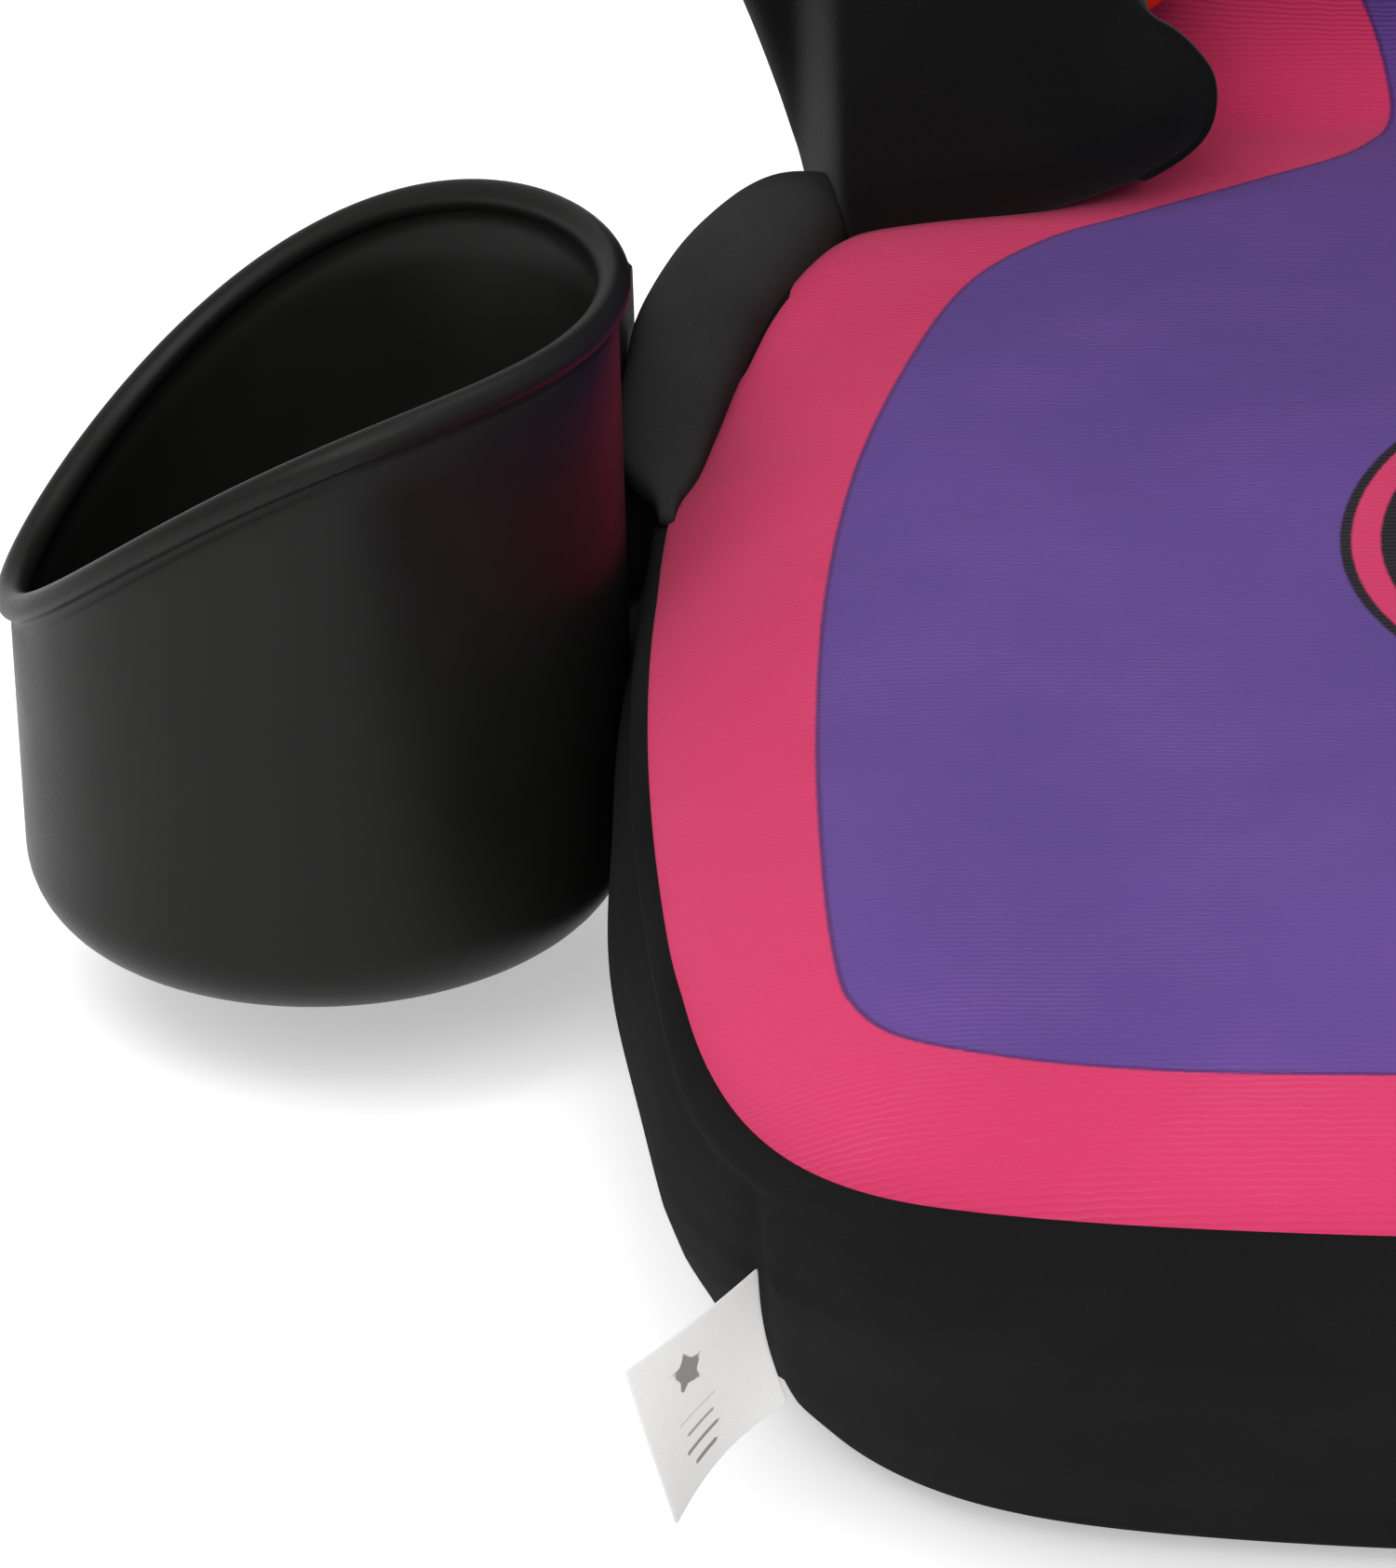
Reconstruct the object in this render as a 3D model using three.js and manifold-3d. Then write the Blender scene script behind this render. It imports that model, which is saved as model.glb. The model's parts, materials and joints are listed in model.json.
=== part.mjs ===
// High-back booster seat for a car, with clip-on cup holders and a sliding headrest.
// Millimetres. X runs to the seated child's left, Y to the rear, Z up. The origin is
// on the ground under the middle of the seat, which stands on its rubber feet at Z = 0.
import * as THREE from 'three';
import { mergeVertices } from 'three/addons/utils/BufferGeometryUtils.js';
import Module from 'manifold-3d';

// Driving dimensions
const gap = 0.3; // free space left between neighbouring pieces
const seat = { frontY: -242, halfWidth: 175, widestY: -22, shellTop: 52, seamZ: 77.5 };
const shell = { frontY: -198, rearY: 165, inset: 8, wall: 3.5, bottomZ: 4.3, ribX: 62, ribZ: [14, 50] };
const ear = { inner: 158.5, outer: 166.5, frontY: -6, rearY: 104, rootZ: 40.3, topZ: 89 };
const foot = { radius: 12, height: 4, stemRadius: 4, stemTop: 12 };
const footPlaces = { front: [124, -140], rear: [132, 132] };
const cup = {
  x: 231.5, y: -20, floorZ: 18.5, highZ: 131.7, drop: 52.8, dipPower: 2.27, baseRadius: 50.8, topRadius: 51,
  corner: 14, wall: 2.8, bead: 3, segments: 44,
};
const bracket = {
  inner: 168.8, flange: 173.4, outer: 186, tip: 199, frontY: 12, rearY: 62,
  flangeZ: 34, bottomZ: 58, plateZ: 79, topZ: 99,
};
const screw = { shank: 2, hole: 2.5, sideHead: 4.5, rearHead: 3.8 };
const tongue = {
  headInner: 188.6, headOuter: 192.8, headY: [17, 36], neckY: [21.5, 31.5], bottomZ: 61.4, topZ: 95,
};
const hinge = { y: 182, z: 40, rodRadius: 5, bore: 5.4, knuckle: 13, lugs: [65, 99], halfLength: 112 };
const bight = { y: 150, z: 84 };
const lean = THREE.MathUtils.degToRad(4);
const panel = { front: 27, rear: 30.5, flange: 50, wall: 3.5, wingFront: -62, wingLowFront: -30 };
const headrest = { bottom: 430, top: 600, halfWidth: 125, front: -72, plate: 20.5, rear: 24, wall: 3.5 };
const belt = { inner: 96, outer: 120, bottom: 28, top: 181, wall: 4, front: -24, rear: 31.5 };
const rail = { inner: 40, outer: 48, lip: 34, bottom: 250, top: 495 };
const carriage = { half: 39.5, front: 33, rear: 39.5, bottom: 300, top: 545, bridge: 525 };
const latchW = 369; // height of the latch pawl on the back
const pullRod = { v: 43.5, radius: 2, bottom: 378, top: 576, collar: 4, collarW: [501, 504] };
const spring = { radius: 3.4, wire: 0.6, turns: 4, bottom: 505.2, climb: 18.4 };

// Materials
function standard(color, roughness, metalness = 0) {
  return new THREE.MeshStandardMaterial({ color, roughness, metalness });
}

const materials = {
  blackPlastic: standard(0x1d1d1d, 0.55),
  blackFabric: standard(0x161616, 0.95),
  pinkFabric: standard(0xd6406c, 0.85),
  orangePlastic: standard(0xff3a1c, 0.4),
  foam: standard(0xe8e8e4, 0.9),
  rubber: standard(0x202020, 0.8),
  steel: standard(0xa8abae, 0.35, 1),
  tag: standard(0xe6e4e2, 0.8),
};

// Solid joins and cuts
const wasm = await Module();
wasm.setup();

function toSolid(geometry) {
  const plain = new THREE.BufferGeometry();
  plain.setAttribute('position', geometry.getAttribute('position').clone());
  if (geometry.index) plain.setIndex(geometry.index.clone());
  const merged = mergeVertices(plain, 1e-4);
  const vertProperties = new Float32Array(merged.getAttribute('position').array);
  const triVerts = new Uint32Array(merged.index.array);
  return new wasm.Manifold(new wasm.Mesh({ numProp: 3, vertProperties, triVerts }));
}

function toGeometry(solid) {
  const mesh = solid.getMesh();
  const geometry = new THREE.BufferGeometry();
  geometry.setAttribute('position', new THREE.BufferAttribute(new Float32Array(mesh.vertProperties), 3));
  geometry.setIndex(new THREE.BufferAttribute(new Uint32Array(mesh.triVerts), 1));
  geometry.computeVertexNormals();
  return geometry;
}

const join = (first, ...others) => others.reduce((sum, other) => sum.add(other), first);
const cut = (first, ...others) => others.reduce((rest, other) => rest.subtract(other), first);

// Basic solids
function box(x, y, z) {
  const geometry = new THREE.BoxGeometry(x[1] - x[0], y[1] - y[0], z[1] - z[0]);
  return toSolid(geometry.translate((x[0] + x[1]) / 2, (y[0] + y[1]) / 2, (z[0] + z[1]) / 2));
}

const axisTurns = {
  x: new THREE.Matrix4().makeBasis(
    new THREE.Vector3(0, 1, 0), new THREE.Vector3(0, 0, 1), new THREE.Vector3(1, 0, 0)),
  y: new THREE.Matrix4().makeRotationX(Math.PI / 2),
  z: new THREE.Matrix4(),
};

// A shape pushed along an axis. Along x the shape is drawn in (y, z), along y in (x, z).
function prism(shape, axis, from, to, bevel = 0, steps = 2) {
  const geometry = new THREE.ExtrudeGeometry(shape, {
    depth: to - from - 2 * bevel, bevelEnabled: bevel > 0, bevelThickness: bevel,
    bevelSize: bevel, bevelOffset: -bevel, bevelSegments: steps, curveSegments: 4,
  });
  geometry.applyMatrix4(axisTurns[axis]);
  const shift = axis === 'y' ? to - bevel : from + bevel;
  const offset = { x: [shift, 0, 0], y: [0, shift, 0], z: [0, 0, shift] }[axis];
  return toSolid(geometry.translate(...offset));
}

function rod(axis, centre, radius, from, to, segments = 16) {
  const circle = new THREE.Shape();
  for (let i = 0; i < segments; i += 1) {
    const turn = (i / segments) * 2 * Math.PI;
    const point = [centre[0] + radius * Math.cos(turn), centre[1] + radius * Math.sin(turn)];
    if (i === 0) circle.moveTo(...point);
    else circle.lineTo(...point);
  }
  circle.closePath();
  return prism(circle, axis, from, to);
}

function polygon(points) {
  const shape = new THREE.Shape();
  points.forEach(([a, b], i) => (i === 0 ? shape.moveTo(a, b) : shape.lineTo(a, b)));
  shape.closePath();
  return shape;
}

function roundedRectangle(left, bottom, right, top, radius) {
  const shape = new THREE.Shape();
  shape.moveTo(left + radius, bottom);
  shape.lineTo(right - radius, bottom);
  shape.absarc(right - radius, bottom + radius, radius, -Math.PI / 2, 0);
  shape.lineTo(right, top - radius);
  shape.absarc(right - radius, top - radius, radius, 0, Math.PI / 2);
  shape.lineTo(left + radius, top);
  shape.absarc(left + radius, top - radius, radius, Math.PI / 2, Math.PI);
  shape.lineTo(left, bottom + radius);
  shape.absarc(left + radius, bottom + radius, radius, Math.PI, 1.5 * Math.PI);
  return shape;
}

// A closed body through rings of the same number of points, each running anticlockwise
// when seen from the far end of the stack.
function loft(rings) {
  const count = rings[0].length;
  const geometry = new THREE.BufferGeometry();
  geometry.setAttribute('position', new THREE.Float32BufferAttribute(rings.flat(2), 3));
  const index = [];
  for (let k = 0; k + 1 < rings.length; k += 1) {
    for (let i = 0; i < count; i += 1) {
      const j = (i + 1) % count;
      const [a, b] = [k * count + i, k * count + j];
      index.push(a, b, b + count, a, b + count, a + count);
    }
  }
  const flatten = (ring) => {
    const fixed = [0, 1, 2].find((axis) => ring.every((p) => Math.abs(p[axis] - ring[0][axis]) < 1e-9));
    const [u, v] = [[1, 2], [2, 0], [0, 1]][fixed];
    return ring.map((p) => new THREE.Vector2(p[u], p[v]));
  };
  const lid = THREE.ShapeUtils.triangulateShape(flatten(rings[0]), []);
  const last = (rings.length - 1) * count;
  lid.forEach(([a, b, c]) => index.push(c, b, a, last + a, last + b, last + c));
  geometry.setIndex(index);
  return toSolid(geometry);
}

function mirrored(solid) {
  const geometry = toGeometry(solid).scale(-1, 1, 1);
  const index = geometry.index.array;
  for (let i = 0; i < index.length; i += 3) {
    [index[i], index[i + 1]] = [index[i + 1], index[i]];
  }
  return toSolid(geometry);
}

// The assembly: the group stands upright, and what is in back leans with the back.
const group = new THREE.Group();
const back = new THREE.Group();
back.position.set(0, bight.y, bight.z);
back.rotation.x = -lean;
group.add(back);

function add(name, solid, material, parent = group) {
  const mesh = new THREE.Mesh(toGeometry(solid), material);
  mesh.name = name;
  parent.add(mesh);
}

// A piece on the positive-X side and its mirror image. The child's left is at +X.
function addPair(name, solid, material, parent = group) {
  add(`${name}_left`, solid, material, parent);
  add(`${name}_right`, mirrored(solid), material, parent);
}

// Plan outline of the seat at one height, moved out by `out`, as a ring of points.
function seatRing(z, out, frontY, rear) {
  const at = (x, y) => new THREE.Vector2(x, y);
  const cornerY = frontY + 64;
  const curves = [
    new THREE.CubicBezierCurve(at(0, frontY), at(60, frontY), at(95, frontY + 2), at(118 + out, frontY + 8)),
    new THREE.CubicBezierCurve(
      at(118 + out, frontY + 8), at(142 + out, frontY + 15),
      at(152 + out, frontY + 34), at(158 + out, cornerY)),
    new THREE.CubicBezierCurve(
      at(158 + out, cornerY), at(168 + out, cornerY + 52),
      at(seat.halfWidth + out, seat.widestY - 50), at(seat.halfWidth + out, seat.widestY)),
    new THREE.CubicBezierCurve(
      at(seat.halfWidth + out, seat.widestY), at(seat.halfWidth + out, seat.widestY + 50),
      at(rear.x[0] + 10, 70), at(rear.x[0], 109)),
    new THREE.LineCurve(at(rear.x[0], 109), at(rear.x[1], rear.y)),
  ];
  const steps = [5, 7, 6, 6, 1];
  const half = curves.flatMap((curve, i) => curve.getPoints(steps[i]).slice(i === 0 ? 0 : 1));
  const other = half.slice(1).reverse().map((p) => at(-p.x, p.y));
  return [...half, ...other].map((p) => [p.x, p.y, z]);
}

const shellRear = (out) => ({ x: [170 + out, 158 + out], y: shell.rearY + Math.min(0, out + shell.inset) });

// Half-round envelope of one armrest above the seam, `grow` larger all round.
function armrestBody(grow) {
  const floor = seat.seamZ + gap - grow;
  // y, inner x, outer x, height over the seam
  const stations = [
    [-4, 172.5, 178, 4], [10, 170, 183, 10], [25, 168.3, 185.4, 15], [40, 166, 185.4, 19],
    [55, 163.5, 184.5, 22], [70, 160.5, 182, 24], [85, 156.5, 178, 25], [95, 153.5, 174, 23],
    [102, 152.5, 169, 18], [106.5, 154, 163, 11],
  ];
  const steps = 12;
  const squareness = 0.8; // under 1, the arc is fuller than a half ellipse
  return loft(stations.map(([y, inner, outer, height], k) => {
    const end = k === 0 ? -grow : k === stations.length - 1 ? grow : 0;
    return Array.from({ length: steps + 1 }, (_, i) => {
      const turn = (Math.PI * i) / steps;
      return [
        (inner + outer) / 2 - ((outer - inner) / 2 + grow) * Math.cos(turn),
        y + end,
        floor + (height + 2 * grow) * Math.sin(turn) ** squareness,
      ];
    });
  }));
}

// Upright rib at the side of the tray, which stiffens the armrest from inside
function earProfile(grow) {
  const [front, rear, top] = [ear.frontY - grow, ear.rearY + grow, ear.topZ + grow];
  return polygon([
    [front, ear.rootZ], [rear - 4, ear.rootZ], [rear - 8, top - 4], [rear - 20, top],
    [66, top], [45, top - 4], [20, top - 11], [front, top - 18],
  ]);
}

function earSolid(grow) {
  return prism(earProfile(grow), 'x', ear.inner - grow, ear.outer + grow);
}

// Room for a bracket: its plate under the armrest, and its block with the way the tongue lifts
function bracketRoom(grow) {
  const y = [bracket.frontY - grow, bracket.rearY + grow];
  const z = [bracket.bottomZ - grow, bracket.plateZ + grow];
  return join(
    box([ear.outer + gap - grow, 250], y, z),
    box([bracket.outer - grow, 250], y, [z[0], 200]));
}

function pairOf(solid) {
  return solid.add(mirrored(solid));
}

// Base: the moulded tray, hollow and open below, with armrest ears and hinge lugs
function baseShell() {
  const outer = loft([
    seatRing(shell.bottomZ, -shell.inset, shell.frontY, shellRear(-shell.inset)),
    seatRing(seat.shellTop, -shell.inset, shell.frontY, shellRear(-shell.inset)),
  ]);
  const inside = -shell.inset - shell.wall;
  const hollow = loft([
    seatRing(shell.bottomZ - 2, inside, shell.frontY + shell.wall, shellRear(inside)),
    seatRing(seat.shellTop - shell.wall, inside, shell.frontY + shell.wall, shellRear(inside)),
  ]);
  const rib = box([shell.ribX - 1.5, shell.ribX + 1.5], [shell.frontY, shell.rearY], shell.ribZ);
  let tray = outer.subtract(hollow).add(pairOf(rib).intersect(outer));
  Object.values(footPlaces).forEach(([x, y]) => {
    const boss = rod('z', [x, y], foot.radius, shell.bottomZ, shell.ribZ[1], 12);
    const hole = rod('z', [x, y], foot.stemRadius + gap, 0, foot.stemTop + gap);
    tray = tray.add(pairOf(boss)).subtract(pairOf(hole));
  });
  tray = tray.add(pairOf(earSolid(0)));
  hinge.lugs.forEach((x) => {
    const arm = box([x - 3, x + 3], [shell.rearY - 2, hinge.y], [hinge.z - hinge.knuckle, hinge.z + 12]);
    const eye = rod('x', [hinge.y, hinge.z], hinge.knuckle, x - 3, x + 3, 20);
    tray = tray.add(pairOf(arm.add(eye)));
  });
  const rodHole = rod('x', [hinge.y, hinge.z], hinge.bore, -120, 120, 20);
  const screwHoles = bracketScrewPlaces().map(([y, z]) => pairOf(rod('x', [y, z], screw.hole, 150, 172, 8)));
  return cut(tray, rodHole, ...screwHoles);
}

function footSolid([x, y]) {
  const pad = rod('z', [x, y], foot.radius, 0, foot.height, 20);
  return pad.add(rod('z', [x, y], foot.stemRadius, foot.height - 1, foot.stemTop));
}

// Front face of the foam: heights, and how far behind the seat's front each lies
const foamFront = [[10, 44], [30, 22], [50, 12], [66, 9]];
const foamTop = foamFront[foamFront.length - 1];
const coverRearY = 138; // where the cover of the seat ends, in front of the bight

// Foam block over the tray and down its front
function seatFoam() {
  const out = -shell.inset - gap;
  const block = loft(foamFront.map(([z, behind]) => seatRing(z, out, seat.frontY + behind, shellRear(out))));
  const beyond = { x: [180, 175], y: 200 };
  const tray = loft([0, seat.shellTop + gap].map((z) => seatRing(
    z, -shell.inset + gap, shell.frontY - gap, beyond)));
  const front = box([-200, 200], [-300, coverRearY], [0, 100]);
  const earRoom = box([ear.inner - gap, 200], [ear.frontY - gap, ear.rearY], [0, 100]);
  return cut(block, tray, pairOf(earRoom)).intersect(front);
}

// Padded top cover, crowned, with its rim lying on the side panels
function seatCushion() {
  const inner = -shell.inset - gap;
  const cushionRear = { x: [150, 139], y: coverRearY };
  const coreFront = seat.frontY + foamTop[1];
  const core = loft([
    seatRing(foamTop[0] + gap, inner, coreFront, cushionRear),
    seatRing(seat.seamZ + 1, inner, coreFront, cushionRear),
  ]);
  // rise over the seam, and how far in from the rim
  const crown = [[0, 0], [4, 0.4], [8, 4], [11, 11], [13.5, 24], [15, 46]];
  const rim = loft(crown.map(([rise, inset]) => seatRing(
    seat.seamZ + gap + rise, -inset, seat.frontY + inset,
    { x: [cushionRear.x[0] - inset, cushionRear.x[1] - inset], y: cushionRear.y })));
  const bolsterRoom = box([86, 200], [88, 150], [85.5, 100]);
  return cut(
    core.add(rim), pairOf(bolsterRoom), pairOf(armrestBody(gap)), pairOf(earSolid(gap)),
    pairOf(bracketRoom(gap)));
}

// Black side and front panels of the cover: one band round the tray
function seatBoxing() {
  // height, how far out of the seam's outline, how far behind the seat's front
  const rows = [[3, -3, 36], [20, 4, 20], [50, 7, 6], [68, 4, -1.5], [seat.seamZ, 0.5, -0.5]];
  const outer = loft(rows.map(([z, out, behind]) => seatRing(
    z, out, seat.frontY + behind, { x: [177 + out / 2, 166], y: coverRearY })));
  const behindFoam = [[0, foamFront[0][1]], ...foamFront, [80, foamTop[1]]];
  const inside = loft(behindFoam.map(([z, behind]) => seatRing(
    z, -shell.inset + gap, seat.frontY + behind - 0.5, { x: [162.4, 155], y: coverRearY + 12 })));
  const rearOpen = box([-155, 155], [100, 160], [-5, 100]);
  const flange = box(
    [ear.outer - 2, bracket.flange + 3.4], [bracket.frontY - 1, bracket.rearY + 1],
    [bracket.flangeZ - 1, 80]);
  const cupRoom = rod('z', [cup.x, cup.y], cup.topRadius + 1.2, cup.floorZ - 2, 100, 36);
  return cut(
    outer, inside, rearOpen, pairOf(flange), pairOf(bracketRoom(gap)), pairOf(earSolid(gap)),
    pairOf(cupRoom));
}

function armrestPad() {
  return cut(armrestBody(0), earSolid(gap), bracketRoom(gap));
}

// Cup holder: a round tub whose rolled rim is high beside the seat and dips outwards
function cupRing(profile, turn) {
  const dip = ((1 - Math.cos(turn)) / 2) ** cup.dipPower;
  const rimZ = cup.highZ - cup.drop * dip;
  return profile(rimZ).map(([r, z]) => [r * Math.cos(turn), r * Math.sin(turn), z]);
}

function turned(profile) {
  const rows = [];
  for (let i = 0; i < cup.segments; i += 1) {
    rows.push(cupRing(profile, (i / cup.segments) * 2 * Math.PI));
  }
  const perRow = rows[0].length;
  const points = rows.flat();
  const bottom = points.length;
  const top = bottom + 1;
  points.push([0, 0, rows[0][0][2]], [0, 0, rows[0][perRow - 1][2]]);
  const index = [];
  for (let i = 0; i < cup.segments; i += 1) {
    const j = (i + 1) % cup.segments;
    index.push(bottom, j * perRow, i * perRow, top, (i + 1) * perRow - 1, (j + 1) * perRow - 1);
    for (let k = 0; k + 1 < perRow; k += 1) {
      const [a, b] = [i * perRow + k, j * perRow + k];
      index.push(a, b, b + 1, a, b + 1, a + 1);
    }
  }
  const geometry = new THREE.BufferGeometry();
  geometry.setAttribute('position', new THREE.Float32BufferAttribute(points.flat(), 3));
  geometry.setIndex(index);
  return toSolid(geometry);
}

function arcPoints(centre, radius, from, to, steps) {
  return Array.from({ length: steps + 1 }, (_, i) => {
    const turn = THREE.MathUtils.degToRad(from + ((to - from) * i) / steps);
    return [centre[0] + radius * Math.cos(turn), centre[1] + radius * Math.sin(turn)];
  });
}

function cupTub() {
  const { baseRadius, topRadius, corner, wall, bead, floorZ } = cup;
  const beadRadius = topRadius - 0.5;
  return turned((rimZ) => [
    ...arcPoints([baseRadius - corner, floorZ + corner], corner, -90, 0, 3),
    [topRadius, rimZ - 2 * bead - 0.5],
    ...arcPoints([beadRadius, rimZ - bead], bead, -60, 240, 6),
    [topRadius - wall, rimZ - 2 * bead - 1],
    ...arcPoints([baseRadius - corner, floorZ + corner], corner - wall, 0, -90, 2),
  ]);
}

function cupHolder() {
  const inside = turned(() => [
    [cup.baseRadius - cup.wall / 2, cup.floorZ - 5], [cup.topRadius - cup.wall / 2, cup.highZ + 5],
  ]);
  const [headInner, headOuter] = [cup.x - tongue.headInner, cup.x - tongue.headOuter];
  const localY = (range) => range.map((y) => y - cup.y);
  const stem = box([16, headOuter + 0.5], localY(tongue.neckY), [tongue.bottomZ, tongue.topZ]);
  const head = box([headOuter, headInner], localY(tongue.headY), [tongue.bottomZ, tongue.topZ]);
  const tub = cupTub().add(stem.add(head).subtract(inside));
  // the seat lies towards -X of the cup on the +X side
  return toSolid(toGeometry(mirrored(tub)).translate(cup.x, cup.y, 0));
}

// Bracket: a plate screwed to the tray's side, with a T slot open at the top
function bracketScrewPlaces() {
  return [[bracket.frontY + 10, 48], [bracket.rearY - 10, 48]];
}

function cupBracket() {
  const { inner, flange, outer, tip, frontY, rearY, flangeZ, bottomZ, plateZ, topZ } = bracket;
  const plate = box([inner, outer + 1], [frontY, rearY], [bottomZ, plateZ]);
  const skirt = box([inner, flange], [frontY, rearY], [flangeZ, bottomZ + 1]);
  const block = prism(roundedRectangle(frontY, bottomZ, rearY, topZ, 3), 'x', outer, tip, 1.2, 1);
  const slotHead = box(
    [tongue.headInner - gap, tongue.headOuter + gap],
    [tongue.headY[0] - gap, tongue.headY[1] + gap], [tongue.bottomZ - gap, topZ + 5]);
  const slotNeck = box(
    [tongue.headOuter - 1, 210], [tongue.neckY[0] - gap, tongue.neckY[1] + gap],
    [tongue.bottomZ - gap, topZ + 5]);
  const tubRoom = rod('z', [cup.x, cup.y], cup.topRadius + 1, 0, 200, 36);
  const holes = bracketScrewPlaces().map(([y, z]) => rod('x', [y, z], screw.hole, 160, 180, 8));
  return cut(join(plate, skirt, block), slotHead, slotNeck, tubRoom, ...holes);
}

function sideScrew([y, z], seatX) {
  const shank = rod('x', [y, z], screw.shank, seatX - 14, seatX + 1, 8);
  return shank.add(rod('x', [y, z], screw.sideHead, seatX + 0.1, seatX + 3, 12));
}

// Hinge rod across the rear lugs, with an end cap each side
function hingeRod() {
  return rod('x', [hinge.y, hinge.z], hinge.rodRadius, -hinge.halfLength, hinge.halfLength, 20);
}

function rodCap() {
  const inner = hinge.halfLength - 6;
  const cap = rod('x', [hinge.y, hinge.z], hinge.rodRadius + 4, inner, hinge.halfLength + 3, 16);
  return cap.subtract(
    rod('x', [hinge.y, hinge.z], hinge.rodRadius + gap, inner - 1, hinge.halfLength + gap, 16));
}

// Care tag sewn into the front corner seam on the -X side, drooping outwards
function careTag() {
  const cloth = prism(polygon([[0, 12], [-24, 1], [-21, -24], [0, -12]]), 'y', -0.5, 0.5);
  const geometry = toGeometry(cloth).rotateZ(THREE.MathUtils.degToRad(41));
  return toSolid(geometry.translate(-145.2, -222, 49));
}

// Back: outline seen from the front, from the middle of the foot up the +X side
function backShape(inset) {
  const shape = new THREE.Shape();
  const side = (x) => x - inset;
  shape.moveTo(-side(146), inset);
  shape.lineTo(side(146), inset);
  shape.bezierCurveTo(side(158), inset, side(162), 8, side(168), 30);
  shape.bezierCurveTo(side(182), 70, side(192), 110, side(195), 170);
  shape.bezierCurveTo(side(198), 240, side(196), 320, side(186), 380);
  shape.bezierCurveTo(side(176), 440, side(150), 505 - inset, 90, 505 - inset);
  shape.lineTo(-90, 505 - inset);
  shape.bezierCurveTo(-side(150), 505 - inset, -side(176), 440, -side(186), 380);
  shape.bezierCurveTo(-side(196), 320, -side(198), 240, -side(195), 170);
  shape.bezierCurveTo(-side(192), 110, -side(182), 70, -side(168), 30);
  shape.bezierCurveTo(-side(162), 8, -side(158), inset, -side(146), inset);
  return shape;
}

// Everything in front of the slanted lower edge of the side wings
function wingTrim(front) {
  return prism(polygon([
    [front - 60, -20], [panel.wingLowFront + 1, -20], [panel.wingLowFront + 1, 12], [front, 128],
    [front, 330], [panel.wingLowFront + 20, 410], [panel.wingLowFront + 20, 420], [front - 60, 420],
  ]), 'x', -220, 220);
}

function backShell() {
  const outer = prism(backShape(0), 'y', panel.front, panel.flange);
  const tray = prism(backShape(panel.wall), 'y', panel.rear, panel.flange + 1);
  const wingOuter = prism(backShape(0), 'y', panel.wingFront, panel.front + 1);
  const wingInner = prism(backShape(panel.wall), 'y', panel.wingFront - 1, panel.front);
  const reach = pairOf(box([140, 210], [panel.wingFront - 5, panel.front + 1], [10, 400]));
  const wings = wingOuter.subtract(wingInner).intersect(reach).subtract(wingTrim(panel.wingFront));
  const ribs = [130, 215].map((w) => box(
    [-180, 180], [panel.front + 1, panel.flange - 8], [w - 1.5, w + 1.5]));
  const clear = 1.2;
  const slot = box(
    [belt.inner - clear, belt.outer + clear], [panel.front - 1, panel.flange + 1],
    [belt.bottom - clear, belt.top + clear]);
  const hookSlot = box([hinge.lugs[0] + 2, hinge.lugs[1] - 2], [panel.rear + 0.1, panel.flange + 1], [-5, 6]);
  const carriageSlot = box(
    [-carriage.half - 2, carriage.half + 2], [panel.rear + 0.1, panel.flange + 1], [490, 506]);
  const holes = [...hookScrewPlaces(), ...railScrewPlaces()].map((place) => pairOf(rearHole(place)));
  const body = join(outer.subtract(tray), wings, ...ribs);
  return cut(body, pairOf(slot), pairOf(hookSlot), carriageSlot, ...holes);
}

// Hinge hooks: a knuckle on the rod and an arm up the rear of the back
function hookScrewPlaces() {
  return [[82, 30], [82, 52]];
}

function hingeHook() {
  // the rod's centre, seen in the leaning frame of the back
  const [dy, dz] = [hinge.y - bight.y, hinge.z - bight.z];
  const centre = [dy * Math.cos(lean) - dz * Math.sin(lean), dy * Math.sin(lean) + dz * Math.cos(lean)];
  const [from, to] = [hinge.lugs[0] + 5, hinge.lugs[1] - 5];
  const knuckle = rod('x', centre, hinge.knuckle, from, to, 20);
  const arm = box([from, to], [panel.rear + gap, panel.rear + 7.5], [centre[1], 60]);
  const holes = hookScrewPlaces().map(rearHole);
  return cut(knuckle.add(arm), rod('x', centre, hinge.bore, from - 1, to + 1, 20), ...holes);
}

function rearHole([x, w]) {
  return rod('y', [x, w], screw.hole, headrest.rear - 8, 60, 8);
}

function rearScrew([x, w], seatV, tipV) {
  const shank = rod('y', [x, w], screw.shank, tipV, seatV + 1, 8);
  return shank.add(rod('y', [x, w], screw.rearHead, seatV + 0.1, seatV + 2.6, 12));
}

function backPad() {
  const pad = prism(roundedRectangle(-93, 3, 93, 425, 16), 'y', -2, 13.5, 5);
  return pad.subtract(pairOf(box([88.7, 120], [-10, 20], [0, 62])));
}

function backFoam() {
  return prism(roundedRectangle(-88.5, 5, 88.5, 422, 14), 'y', 13.5 + gap, panel.front - gap);
}

// Everything in front of the bolster's outer side, which slants back towards its foot
function bolsterTrim() {
  const [front, low, step] = [panel.wingFront + 4, panel.wingLowFront + 2, 146];
  const ring = (w, outerV) => [
    [step, front - 30, w], [220, front - 30, w], [220, outerV, w], [step + 5.5, outerV, w], [step, front, w],
  ];
  return loft([ring(-10, low), ring(130, front)]);
}

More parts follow.
